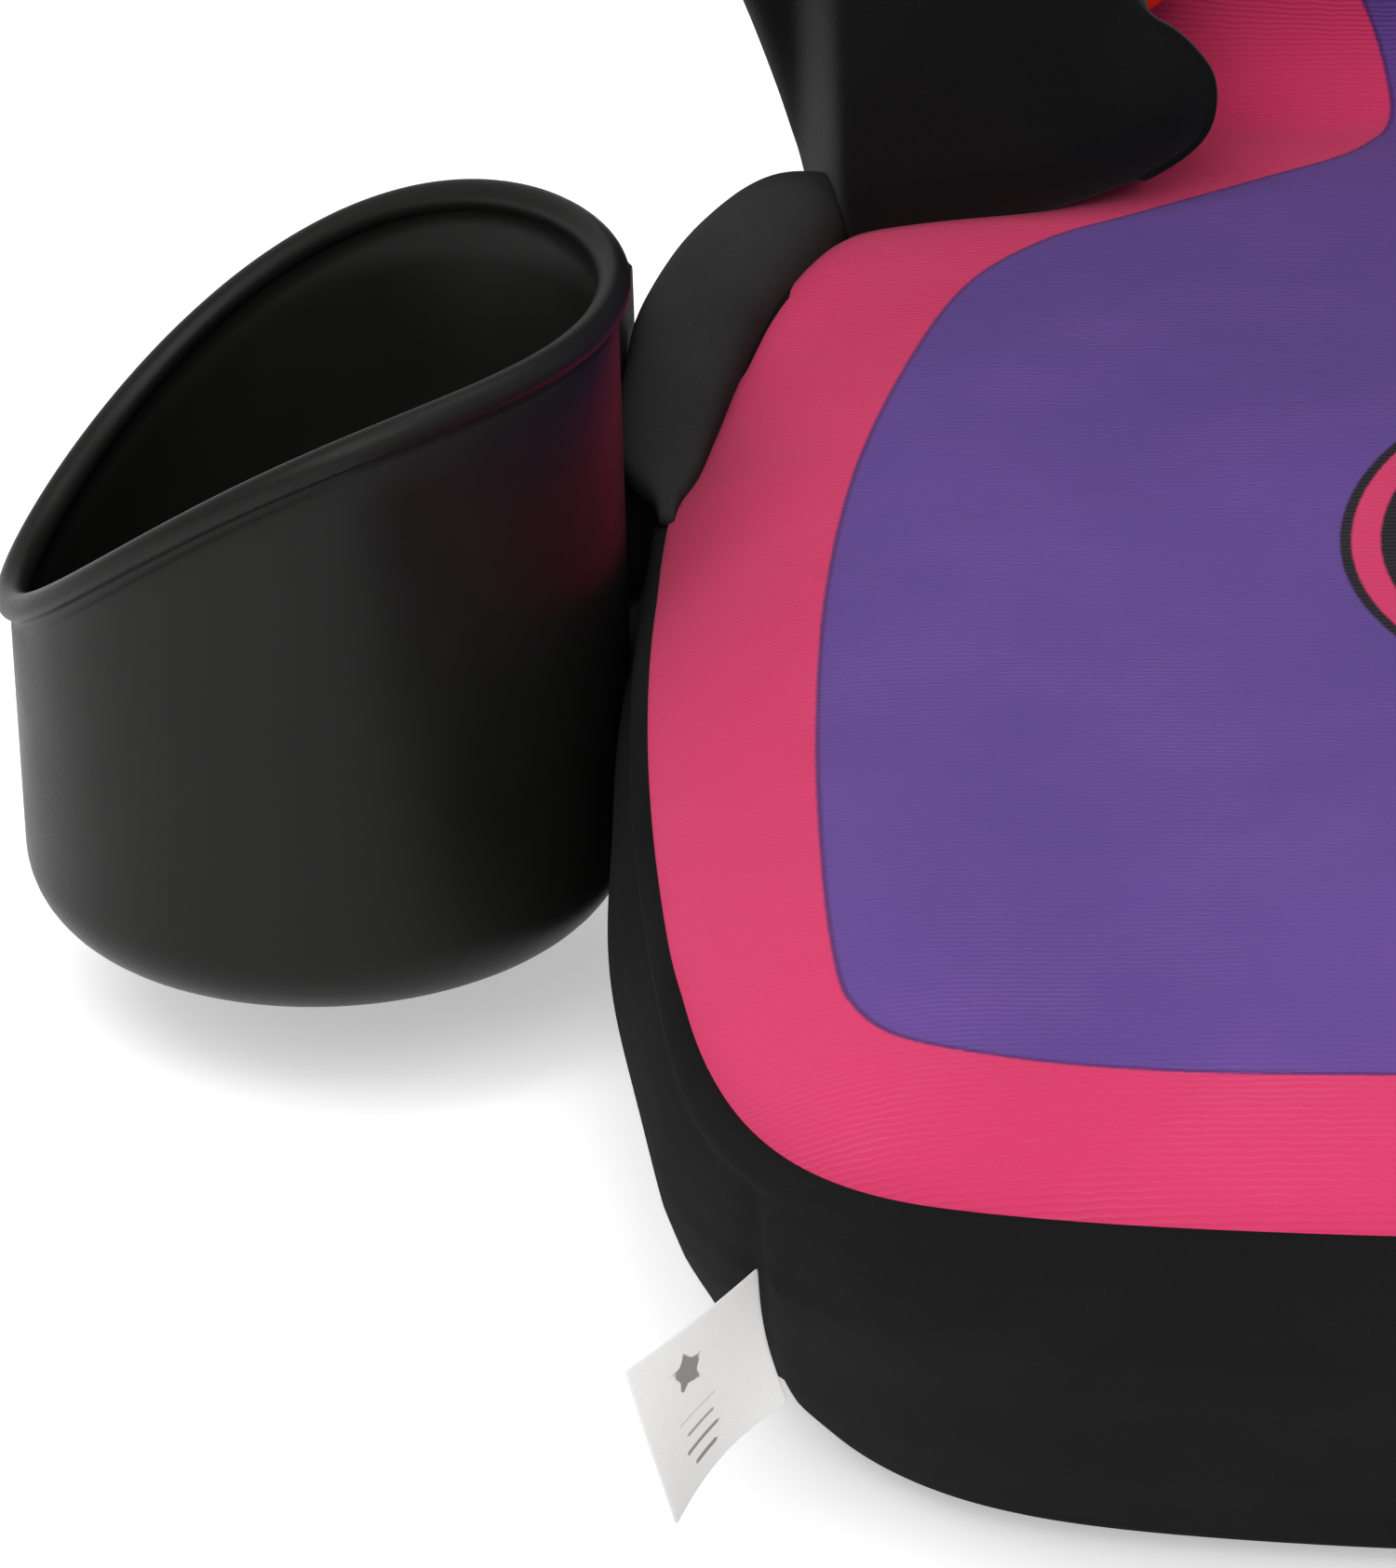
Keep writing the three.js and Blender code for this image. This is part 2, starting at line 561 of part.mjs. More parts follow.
// Side bolster: fills the wing, down to the seat, with a lobe under the belt bezel
function bolster() {
  const shape = new THREE.Shape();
  shape.moveTo(110, 4);
  shape.lineTo(138, 4);
  shape.bezierCurveTo(152, 5, 158, 16, 163, 34);
  shape.bezierCurveTo(176, 74, 186, 110, 190, 170);
  shape.bezierCurveTo(193, 240, 190, 320, 181, 370);
  shape.bezierCurveTo(177, 396, 160, 402, 140, 402);
  shape.lineTo(122, 402);
  shape.bezierCurveTo(102, 402, 94, 390, 94, 370);
  shape.lineTo(94, 60);
  shape.bezierCurveTo(94, 44, 89, 36, 89, 26);
  shape.bezierCurveTo(89, 14, 94, 4, 110, 4);
  const body = prism(shape, 'y', panel.wingFront + 4, panel.front - gap, 7, 3);
  const bezelRoom = box([80, belt.outer + gap], [-80, 40], [belt.bottom - gap, belt.top + gap]);
  return cut(body, bezelRoom, bolsterTrim());
}

// Belt guide bezel: a lined slot between the bolster and the back pad
function beltBezel() {
  const { inner, outer, bottom, top, wall, front, rear } = belt;
  const collar = prism(roundedRectangle(inner, bottom, outer, top, 11), 'y', front, rear, 1.2);
  const slot = roundedRectangle(inner + wall, bottom + wall, outer - wall, top - wall, 7);
  return collar.subtract(prism(slot, 'y', front - 1, rear + 1));
}

// Headrest guide rails and the toothed rack between them
function railScrewPlaces() {
  return [[44, 275], [44, 470]];
}

function guideRail() {
  const { inner, outer, lip, bottom, top } = rail;
  const profile = box([inner, outer], [panel.rear + gap, carriage.rear + 4.5], [bottom, top]);
  const retainer = box([lip, inner + 1], [carriage.rear + 0.5, carriage.rear + 4.5], [bottom, top]);
  const holes = railScrewPlaces().map(rearHole);
  return cut(profile.add(retainer), ...holes);
}

function heightRack() {
  const strip = box([-9, 9], [panel.rear + gap, panel.rear + 2.1], [300, 495]);
  const notches = Array.from({ length: 7 }, (_, i) => box(
    [-6, 6], [panel.rear, panel.rear + 3], [latchW - 3.5 + 20 * i, latchW + 3.5 + 20 * i]));
  return cut(strip, ...notches);
}

// Headrest bucket: back plate, top and side walls, open at the front and below
function headrestShell() {
  const { bottom, top, halfWidth, front, plate, rear, wall } = headrest;
  const outline = (inset) => roundedRectangle(
    -halfWidth + inset, bottom - 60, halfWidth - inset, top - inset, 52);
  const outer = prism(outline(0), 'y', front, rear, 2.5);
  const inside = prism(outline(wall), 'y', front - 1, plate);
  const below = box([-200, 200], [-100, 60], [bottom - 80, bottom]);
  const frontTrim = prism(polygon([
    [front - 10, bottom - 20], [-30, bottom - 20], [-34, bottom + 8], [front, bottom + 70],
    [front, bottom + 120], [-40, top - 6], [-20, top + 20], [front - 10, top + 20],
  ]), 'x', -200, 200);
  const tabHoles = pairOf(box([halfWidth - 8, halfWidth + 4], [-2 - gap, 12 + gap], [454 - gap, 476 + gap]));
  const screwHoles = carriageScrewPlaces().map((place) => pairOf(rearHole(place)));
  return cut(outer.subtract(inside), below, frontTrim, tabHoles, ...screwHoles);
}

function headrestPad() {
  return prism(roundedRectangle(-84, 434, 84, 590, 30), 'y', 0, 15, 5);
}

function headrestFoam() {
  return prism(roundedRectangle(-80, 438, 80, 586, 26), 'y', 15 + gap, headrest.plate - gap);
}

function headrestWing() {
  const pad = prism(roundedRectangle(88, 434, 117, 556, 9), 'y', -64, headrest.plate - gap, 5);
  const trim = prism(polygon([
    [-90, 400], [-26, 400], [-28, 440], [-62, 500], [-62, 530], [-38, 570], [-90, 600],
  ]), 'x', 60, 140);
  return pad.subtract(trim);
}

// Shoulder belt guide: an open hook outside the headrest wing, held by a tab
function shoulderGuide() {
  const x = headrest.halfWidth + gap;
  const plate = prism(roundedRectangle(x, 438, x + 30, 500, 8), 'y', 0, 9, 1.2);
  const slot = prism(roundedRectangle(x + 9, 446, x + 20, 492, 4), 'y', -5, 15);
  const mouth = box([x + 16, x + 40], [-5, 15], [478, 487]);
  const tab = box([x - 5, x + 4], [1.5, 8.5], [456, 474]);
  const barb = box([x - 6.5, x - headrest.wall - 2 * gap], [0, 10], [455, 475]);
  return cut(plate, slot, mouth).add(tab).add(barb);
}

// Carriage: the plate that runs between the rails and carries the headrest
function carriageScrewPlaces() {
  return [[25, 566]];
}

function headrestCarriage() {
  const { half, front, rear, bottom, top, bridge } = carriage;
  const plate = box([-half, half], [front, rear], [bottom, top]);
  const over = box([-half, half], [headrest.rear + gap, rear], [bridge, top]);
  const flange = box([-half, half], [headrest.rear + gap, headrest.rear + 4.3], [bridge, 580]);
  const lug = box([-7, 7], [rear - 1, 49], [bridge, top]);
  const rodHole = rod('z', [0, pullRod.v], pullRod.radius + 0.5, bridge - 5, top + 5, 16);
  const pawlHole = box([-5.9, 5.9], [front - 1, rear + 1], [latchW - 3.1, latchW + 3.1]);
  const windows = [332, 425, 470].map((w) => pairOf(box([12, 30], [front - 1, rear + 1], [w, w + 34])));
  const holes = carriageScrewPlaces().map((place) => pairOf(rearHole(place)));
  return cut(join(plate, over, flange, lug), rodHole, pawlHole, ...windows, ...holes);
}

function latchPawl() {
  const nose = box([-5.5, 5.5], [carriage.front, 42], [latchW - 2.7, latchW + 2.7]);
  return nose.add(box([-12, 12], [carriage.rear + 1, 47], [latchW - 7, latchW + 7]));
}

// Adjuster: squeeze lever behind the headrest, with its pull rod and return spring
function adjusterLever() {
  const handle = prism(roundedRectangle(-36, 584, 36, 604, 8), 'y', 30, 52, 2.5);
  const stem = box([-6, 6], [38, 49], [564, 590]);
  return handle.add(stem).subtract(rod('z', [0, pullRod.v], pullRod.radius + gap, 560, 577, 16));
}

function pullRodSolid() {
  const shaft = rod('z', [0, pullRod.v], pullRod.radius, pullRod.bottom, pullRod.top, 16);
  return shaft.add(rod('z', [0, pullRod.v], pullRod.collar, ...pullRod.collarW, 16));
}

class Helix extends THREE.Curve {
  getPoint(t) {
    const turn = t * 2 * Math.PI * spring.turns;
    const w = spring.bottom + t * spring.climb;
    return new THREE.Vector3(spring.radius * Math.cos(turn), pullRod.v + spring.radius * Math.sin(turn), w);
  }
}

function returnSpring() {
  const wire = new THREE.Shape().absarc(0, 0, spring.wire, 0, 2 * Math.PI);
  const geometry = new THREE.ExtrudeGeometry(wire, { steps: 40, extrudePath: new Helix(), curveSegments: 2 });
  return toSolid(geometry);
}

// Base pieces
add('base_shell', baseShell(), materials.blackPlastic);
add('seat_foam', seatFoam(), materials.foam);
add('seat_cushion', seatCushion(), materials.pinkFabric);
add('seat_boxing', seatBoxing(), materials.blackFabric);
addPair('armrest_pad', armrestPad(), materials.blackFabric);
Object.entries(footPlaces).forEach(([place, xy]) => addPair(
  `foot_${place}`, footSolid(xy), materials.rubber));
addPair('cup_bracket', cupBracket(), materials.blackPlastic);
bracketScrewPlaces().forEach((place, i) => addPair(
  `bracket_screw_${['front', 'rear'][i]}`, sideScrew(place, bracket.flange), materials.steel));
add('hinge_rod', hingeRod(), materials.steel);
addPair('rod_cap', rodCap(), materials.blackPlastic);
add('care_tag', careTag(), materials.tag);

// Cup holders
addPair('cup_holder', cupHolder(), materials.blackPlastic);

// Back pieces
add('back_shell', backShell(), materials.blackPlastic, back);
add('back_foam', backFoam(), materials.foam, back);
add('back_pad', backPad(), materials.pinkFabric, back);
addPair('bolster', bolster(), materials.blackFabric, back);
addPair('belt_bezel', beltBezel(), materials.orangePlastic, back);
addPair('hinge_hook', hingeHook(), materials.blackPlastic, back);
hookScrewPlaces().forEach((place, i) => addPair(
  `hook_screw_${['lower', 'upper'][i]}`, rearScrew(place, panel.rear + 7.6, panel.front + 0.2),
  materials.steel, back));
addPair('guide_rail', guideRail(), materials.blackPlastic, back);
railScrewPlaces().forEach((place, i) => addPair(
  `rail_screw_${['lower', 'upper'][i]}`, rearScrew(place, carriage.rear + 4.6, panel.front + 0.2),
  materials.steel, back));
add('height_rack', heightRack(), materials.steel, back);

// Headrest pieces
add('headrest_shell', headrestShell(), materials.blackPlastic, back);
add('headrest_foam', headrestFoam(), materials.foam, back);
add('headrest_pad', headrestPad(), materials.pinkFabric, back);
addPair('headrest_wing', headrestWing(), materials.blackFabric, back);
addPair('shoulder_guide', shoulderGuide(), materials.orangePlastic, back);
add('headrest_carriage', headrestCarriage(), materials.blackPlastic, back);
carriageScrewPlaces().forEach((place) => addPair(
  'carriage_screw', rearScrew(place, headrest.rear + 4.4, headrest.plate + 0.2), materials.steel, back));
add('adjuster_lever', adjusterLever(), materials.blackPlastic, back);
add('pull_rod', pullRodSolid(), materials.steel, back);
add('latch_pawl', latchPawl(), materials.steel, back);
add('return_spring', returnSpring(), materials.steel, back);

export default group;
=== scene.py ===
"""Looks of the high-back booster seat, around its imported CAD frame. Blender 4.5.

The shapes are worked out in millimetres and turned to metres as each mesh is made.
X runs to the seated child's left, Y to the rear and Z up, as in the CAD. On the leaning
back, v runs rearwards from the bight and w upwards.
"""

import json
import math

import bmesh
import bpy
import numpy as np
from mathutils import Matrix, Vector

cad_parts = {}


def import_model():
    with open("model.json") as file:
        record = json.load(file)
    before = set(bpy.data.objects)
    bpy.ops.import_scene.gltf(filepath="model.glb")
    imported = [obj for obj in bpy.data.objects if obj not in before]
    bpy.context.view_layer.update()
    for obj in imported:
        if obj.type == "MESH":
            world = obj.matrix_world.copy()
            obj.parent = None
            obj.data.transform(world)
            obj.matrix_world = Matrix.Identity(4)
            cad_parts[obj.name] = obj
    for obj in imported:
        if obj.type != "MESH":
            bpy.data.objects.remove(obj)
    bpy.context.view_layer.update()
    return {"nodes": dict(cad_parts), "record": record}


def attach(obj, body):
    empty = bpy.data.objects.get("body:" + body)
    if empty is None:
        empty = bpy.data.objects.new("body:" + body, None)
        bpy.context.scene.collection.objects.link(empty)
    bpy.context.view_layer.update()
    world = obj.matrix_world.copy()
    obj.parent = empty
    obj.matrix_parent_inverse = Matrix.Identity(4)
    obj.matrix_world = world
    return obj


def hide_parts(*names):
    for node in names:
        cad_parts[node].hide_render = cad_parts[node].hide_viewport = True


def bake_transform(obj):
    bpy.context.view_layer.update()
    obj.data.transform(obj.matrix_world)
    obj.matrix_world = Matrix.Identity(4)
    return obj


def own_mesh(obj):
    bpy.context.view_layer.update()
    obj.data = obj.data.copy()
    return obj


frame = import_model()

MM = 0.001

# ---------------------------------------------------------------- driving dimensions (mm)

SEAT_FRONT = -242.0        # foremost point of the seam round the seat
SEAT_HALF = 175.0          # half width of the seat at its widest
SEAT_WIDEST = -22.0        # Y of the widest place
SEAM_Z = 78.5              # height of the seam between the printed top and the black sides
CROWN = 12.5               # how far the seat padding rises over its seam
PAD_CROWN = 11.5           # and the back padding over its rim
COVER_DEPTH = 3.0          # from the rim of the printed cover down to its underside
BIGHT = (150.0, 84.0)      # Y, Z where the seat meets the back
LEAN = math.radians(4.0)   # the back's lean
BIGHT_RADIUS = 30.0
BACK_PAD_TOP = 423.0       # along the back, from the bight
CUP = {"x": 231.5, "y": -20.0, "floor": 18.5, "high": 131.7, "drop": 52.8, "dip_power": 2.27,
       "base": 50.8, "top": 51.0, "corner": 14.0, "wall": 2.8, "bead": 2.7}
NECK = {"head_x": (188.6, 192.8), "head_y": (17.0, 36.0), "neck_y": (21.5, 31.5), "tip_y": 27.3,
        "z": (61.4, 95.0)}
BRACKET = {"face": 168.4, "y": (12.0, 62.0), "low": 57.4}
WING_FRONT = -62.0         # foremost v of the shell's side wings
SPRING = {"v": 43.5, "radius": 3.4, "wire": 0.6, "turns": 4, "bottom": 505.2, "climb": 18.4}

# ---------------------------------------------------------------- small tools


def mesh_object(name, points, faces, material, smooth=True):
    """A mesh object from points in millimetres."""
    mesh = bpy.data.meshes.new(name)
    mesh.from_pydata((np.asarray(points, float) * MM).tolist(), [], [list(map(int, f)) for f in faces])
    mesh.validate()
    if smooth:
        mesh.polygons.foreach_set("use_smooth", [True] * len(mesh.polygons))
    mesh.materials.append(material)
    piece = bpy.data.objects.new(name, mesh)
    bpy.context.scene.collection.objects.link(piece)
    return piece


def grid_faces(rows, columns, closed=False):
    """Quads of a grid whose points run row by row; a closed grid joins its last column to the first."""
    faces = []
    for i in range(rows - 1):
        for j in range(columns if closed else columns - 1):
            a, b = i * columns + j, i * columns + (j + 1) % columns
            faces.append((a, b, b + columns, a + columns))
    return faces


def bezier(p0, p1, p2, p3, steps):
    """Points along a cubic curve, without its last one."""
    t = np.linspace(0, 1, steps, endpoint=False)[:, None]
    p0, p1, p2, p3 = map(np.asarray, (p0, p1, p2, p3))
    return (1 - t) ** 3 * p0 + 3 * (1 - t) ** 2 * t * p1 + 3 * (1 - t) * t ** 2 * p2 + t ** 3 * p3


def smooth_closed(points, steps=12):
    """A smooth closed outline through a few points."""
    p = np.asarray(points, float)
    before, after, beyond = np.roll(p, 1, 0), np.roll(p, -1, 0), np.roll(p, -2, 0)
    return np.vstack([
        bezier(p[i], p[i] + (after[i] - before[i]) / 6, after[i] - (beyond[i] - p[i]) / 6, after[i], steps)
        for i in range(len(p))])


def arc(centre, radius, start, end, steps):
    """Points along an arc between two angles in degrees."""
    turn = np.radians(np.linspace(start, end, steps))
    return np.column_stack([centre[0] + radius * np.cos(turn), centre[1] + radius * np.sin(turn)])


def rounded_rectangle(left, bottom, right, top, radius, steps=10):
    """Anticlockwise outline with round corners, from its lower right corner."""
    outline = []
    for x, y, start in ((right, bottom, -90), (right, top, 0), (left, top, 90), (left, bottom, 180)):
        centre_x = x - math.copysign(radius, x - (left + right) / 2)
        centre_y = y - math.copysign(radius, y - (bottom + top) / 2)
        outline.append(arc((centre_x, centre_y), radius, start, start + 90, steps))
    return resample(np.vstack(outline), 360, closed=True)


def mirror_outline(half):
    """A closed outline from its half on the +X side, which runs from one axis point to the other."""
    half = np.asarray(half, float)
    return np.vstack([half, half[1:-1][::-1] * (-1, 1)])


def resample(line, count, closed=False):
    """Evenly spaced points along a polyline."""
    p = np.vstack([line, line[:1]]) if closed else np.asarray(line, float)
    steps = np.r_[0, np.cumsum(np.linalg.norm(np.diff(p, axis=0), axis=1))]
    at = np.linspace(0, steps[-1], count, endpoint=not closed)
    return np.stack([np.interp(at, steps, p[:, k]) for k in range(p.shape[1])], 1)


def signed_distance(points, outline):
    """Distance in the plane from each point to a closed outline, below zero inside it."""
    a, b = outline, np.roll(outline, -1, 0)
    result = np.empty(len(points))
    for start in range(0, len(points), 4000):
        p = points[start:start + 4000, None, :]
        along = b - a
        t = np.clip(((p - a) * along).sum(-1) / np.maximum((along ** 2).sum(-1), 1e-12), 0, 1)
        near = np.sqrt((((a + t[..., None] * along) - p) ** 2).sum(-1)).min(1)
        x, y = p[..., 0], p[..., 1]
        crosses = (a[:, 1] > y) != (b[:, 1] > y)
        rise = np.where(b[:, 1] == a[:, 1], 1e-9, b[:, 1] - a[:, 1])
        inside = (crosses & (x < a[:, 0] + (y - a[:, 1]) * (b[:, 0] - a[:, 0]) / rise)).sum(1) % 2 == 1
        result[start:start + 4000] = np.where(inside, -near, near)
    return result


def waves(points, size, seed=0.0):
    """Soft irregular swell, about -1 to 1, from a few slanted sine waves of about `size` mm."""
    p = np.asarray(points, float)
    total = np.zeros(len(p))
    for k in range(6):
        turn = seed + 1.9 * k
        direction = np.array([math.cos(turn), math.sin(turn), math.sin(2.3 * turn)])[: p.shape[1]]
        total += np.sin(p @ direction * (2 * math.pi / (size * (0.75 + 0.13 * k))) + 2.1 * k + 5 * seed)
    return total / 3.2


def step(edge0, edge1, value):
    """Smooth step from 0 at edge0 to 1 at edge1."""
    t = np.clip((np.asarray(value, float) - edge0) / (edge1 - edge0), 0, 1)
    return t * t * (3 - 2 * t)


def bell(value, middle, spread):
    """1 at the middle, falling off smoothly over about `spread` on both sides."""
    return np.exp(-((np.asarray(value, float) - middle) / spread) ** 2)


def on_back(x, v, w):
    """A point of the leaning back."""
    x, v, w = np.broadcast_arrays(x, v, w)
    y = BIGHT[0] + v * math.cos(LEAN) + w * math.sin(LEAN)
    z = BIGHT[1] - v * math.sin(LEAN) + w * math.cos(LEAN)
    return np.stack([x, y, z], -1)


def attribute(piece, name, values):
    """A number, or three, stored on every point for the material to read."""
    values = np.asarray(values, np.float32)
    kind = "FLOAT" if values.ndim == 1 else "FLOAT_VECTOR"
    data = piece.data.attributes.new(name, kind, "POINT").data
    data.foreach_set("value" if values.ndim == 1 else "vector", values.ravel())


def mirrored(piece, name):
    """A copy on the other side of the seat."""
    copy = piece.copy()
    copy.data = piece.data.copy()
    copy.name = copy.data.name = name
    bpy.context.scene.collection.objects.link(copy)
    mesh = bmesh.new()
    mesh.from_mesh(copy.data)
    for vertex in mesh.verts:
        vertex.co.x = -vertex.co.x
    bmesh.ops.reverse_faces(mesh, faces=mesh.faces)
    mesh.to_mesh(copy.data)
    mesh.free()
    return copy


def pair(piece, name, body, replaced):
    """Mirror a +X piece, and settle what both ride on and replace."""
    both = {"left": piece, "right": mirrored(piece, f"{name}_right")}
    for side, each in both.items():
        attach(each, body.format(side=side))
        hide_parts(f"{replaced}_{side}")
    return both


# ---------------------------------------------------------------- padded forms


class Patch:
    """A grid that fills a closed anticlockwise outline between four places near its corners.

    The corners are front left, front right, rear right and rear left; rows run to the rear."""

    def __init__(self, outline, corners, rows, columns):
        near = [int(np.argmin(np.hypot(*(outline - place).T))) for place in corners]
        turned = np.roll(outline, -near[0], 0)
        marks = [(k - near[0]) % len(outline) for k in near] + [len(outline)]
        closed = np.vstack([turned, turned[:1]])
        a, b = self.spacing(columns), self.spacing(rows)
        front, right, rear, left = (
            self.side(closed[marks[k]:marks[k + 1] + 1], share)
            for k, share in enumerate((a, b, 1 - a, 1 - b)))
        a, b = a[None, :, None], b[:, None, None]
        ruled = (1 - b) * front[None] + b * rear[None] + (1 - a) * left[:, None] + a * right[:, None]
        corner = ((1 - a) * (1 - b) * front[0] + a * (1 - b) * front[-1]
                  + (1 - a) * b * rear[0] + a * b * rear[-1])
        self.rows, self.columns = rows, columns
        self.flat = (ruled - corner).reshape(-1, 2)
        self.inward = np.maximum(-signed_distance(self.flat, turned), 0)
        self.loop = np.r_[
            np.arange(columns), np.arange(1, rows) * columns + columns - 1,
            (rows - 1) * columns + np.arange(columns - 2, -1, -1), np.arange(rows - 2, 0, -1) * columns]
        self.rim = self.flat[self.loop]
        along = np.roll(self.rim, -1, 0) - np.roll(self.rim, 1, 0)
        self.out = np.stack([along[:, 1], -along[:, 0]], 1) / np.linalg.norm(along, axis=1)[:, None]

    @staticmethod
    def spacing(count):
        """Shares from 0 to 1, closer together at both ends."""
        even = np.linspace(0, 1, count)
        return 0.35 * (0.5 - 0.5 * np.cos(even * math.pi)) + 0.65 * even

    @staticmethod
    def side(line, shares):
        line = resample(line, 500)
        where = shares * 499
        return np.stack([np.interp(where, np.arange(500), line[:, k]) for k in (0, 1)], 1)

    def closed_form(self, name, top, rings, under, place, material):
        """A closed body: the top grid, rings of cloth down its edge, and the underside.

        Each ring is (how far outside the rim, heights along the rim)."""
        count, size = len(self.flat), len(self.loop)
        layers = [place(self.flat, top)]
        cloth = [self.flat]
        for outward, height in rings:
            moved = self.rim + self.out * np.broadcast_to(outward, size)[:, None]
            layers.append(place(moved, np.broadcast_to(height, size)))
            cloth.append(moved)
        layers.append(place(self.flat, np.broadcast_to(under, count)))
        cloth.append(self.flat)
        faces = grid_faces(self.rows, self.columns)
        bases = [self.loop] + [count + k * size + np.arange(size) for k in range(len(rings))]
        bases.append(count + len(rings) * size + self.loop)
        for base, target in zip(bases, bases[1:]):
            after = np.roll(np.arange(size), -1)
            faces += list(zip(base, target, target[after], base[after]))
        below = count + len(rings) * size
        faces += [tuple(below + k for k in face[::-1]) for face in grid_faces(self.rows, self.columns)]
        piece = mesh_object(name, np.vstack(layers), faces, material)
        attribute(piece, "cloth", np.column_stack([np.vstack(cloth), np.zeros(len(piece.data.vertices))]))
        return piece


def dome(inward, reach, power=2.4):
    """0 at the rim, rising round to 1 at `reach` inside it."""
    return 1 - (1 - np.clip(inward / reach, 0, 1)) ** power


# ---------------------------------------------------------------- materials


class Nodes:
    """Shorthand for building one material's node tree."""

    def __init__(self, name):
        self.material = bpy.data.materials.new(name)
        self.material.use_nodes = True
        self.tree = self.material.node_tree
        self.shader = self.tree.nodes["Principled BSDF"]

    def add(self, kind, settings=None, **inputs):
        node = self.tree.nodes.new(kind)
        for key, value in (settings or {}).items():
            setattr(node, key, value)
        for key, value in inputs.items():
            self.feed(node.inputs[int(key[1:]) if key[1:].isdigit() else key.replace("_", " ")], value)
        return node

    def feed(self, socket, value):
        if isinstance(value, bpy.types.NodeSocket):
            self.tree.links.new(value, socket)
        else:
            socket.default_value = value

    def math(self, operation, a, b=0.0):
        return self.add("ShaderNodeMath", {"operation": operation}, i0=a, i1=b).outputs[0]

    def mix(self, amount, a, b):
        node = self.add("ShaderNodeMix", {"data_type": "RGBA"})
        self.feed(node.inputs[0], amount)
        self.feed(node.inputs[6], a)
        self.feed(node.inputs[7], b)
        return node.outputs[2]

    def object_mm(self):
        """The piece's own coordinates, in millimetres."""
        place = self.add("ShaderNodeTexCoord").outputs["Object"]
        return self.add("ShaderNodeVectorMath", {"operation": "SCALE"}, i0=place, i3=1000.0).outputs[0]

    def stored(self, what, output="Fac"):
        return self.add("ShaderNodeAttribute", {"attribute_name": what}).outputs[output]

    def noise(self, place, scale, detail=3.0, roughness=0.55):
        node = self.add("ShaderNodeTexNoise", Vector=place, Scale=scale, Detail=detail, Roughness=roughness)
        return node.outputs["Fac"]

    def range(self, value, low, high, to_low=0.0, to_high=1.0):
        settings = {"interpolation_type": "SMOOTHSTEP"}
        return self.add(
            "ShaderNodeMapRange", settings, Value=value, i1=low, i2=high, i3=to_low, i4=to_high).outputs[0]

    def bump(self, height, distance, normal=None):
        node = self.add("ShaderNodeBump", Height=height, Distance=distance)
        if normal is not None:
            self.feed(node.inputs["Normal"], normal)
        return node.outputs[0]

    def finish(self, **inputs):
        for key, value in inputs.items():
            self.feed(self.shader.inputs[key.replace("_", " ")], value)
        return self.material


def rgb(red, green, blue):
    """A linear colour from 0 to 255 screen values."""
    def linear(c):
        c /= 255
        return c / 12.92 if c <= 0.04045 else ((c + 0.055) / 1.055) ** 2.4
    return (linear(red), linear(green), linear(blue), 1.0)


def moulded_plastic(name, colour, roughness=0.42, specular=0.4, edge=0.7):
    """Moulded plastic with a fine spark-eroded grain, faint handling marks and softened edges."""
    n = Nodes(name)
    place = n.object_mm()
    fine = n.noise(place, 1.6, 4.0)
    cloud = n.noise(place, 0.03, 2.0)
    tone = n.range(cloud, 0.3, 0.7, 0.9, 1.1)
    base = n.add("ShaderNodeVectorMath", {"operation": "SCALE"}, i0=colour[:3], i3=tone).outputs[0]
    rubbed = n.range(cloud, 0.25, 0.75, roughness - 0.05, roughness + 0.05)
    rough = n.math("ADD", rubbed, n.range(fine, 0.3, 0.7, -0.03, 0.03))
    rounded = n.add("ShaderNodeBevel", {"samples": 4}, Radius=edge * MM).outputs[0]
    normal = n.bump(fine, 0.00002, rounded)
    return n.finish(Base_Color=base, Roughness=rough, Normal=normal, Specular_IOR_Level=specular)


def black_fabric(name, dark, pale, sheen=0.0):
    """Black brushed knit: matte, with a fine even grain and slight fading in broad patches."""
    n = Nodes(name)
    place = n.object_mm()
    grain = n.noise(place, 1.5, 4.0, 0.65)
    fleck = n.noise(place, 3.2, 2.0)
    cloud = n.noise(place, 0.015, 3.0)
    shade = n.math("ADD", n.math("MULTIPLY", cloud, 0.6), n.math("MULTIPLY", fleck, 0.4))
    base = n.mix(n.range(shade, 0.35, 0.65), dark, pale)
    return n.finish(
        Base_Color=base, Roughness=0.95, Normal=n.bump(grain, 0.00010), Specular_IOR_Level=0.04,
        Sheen_Weight=sheen, Sheen_Roughness=0.4)


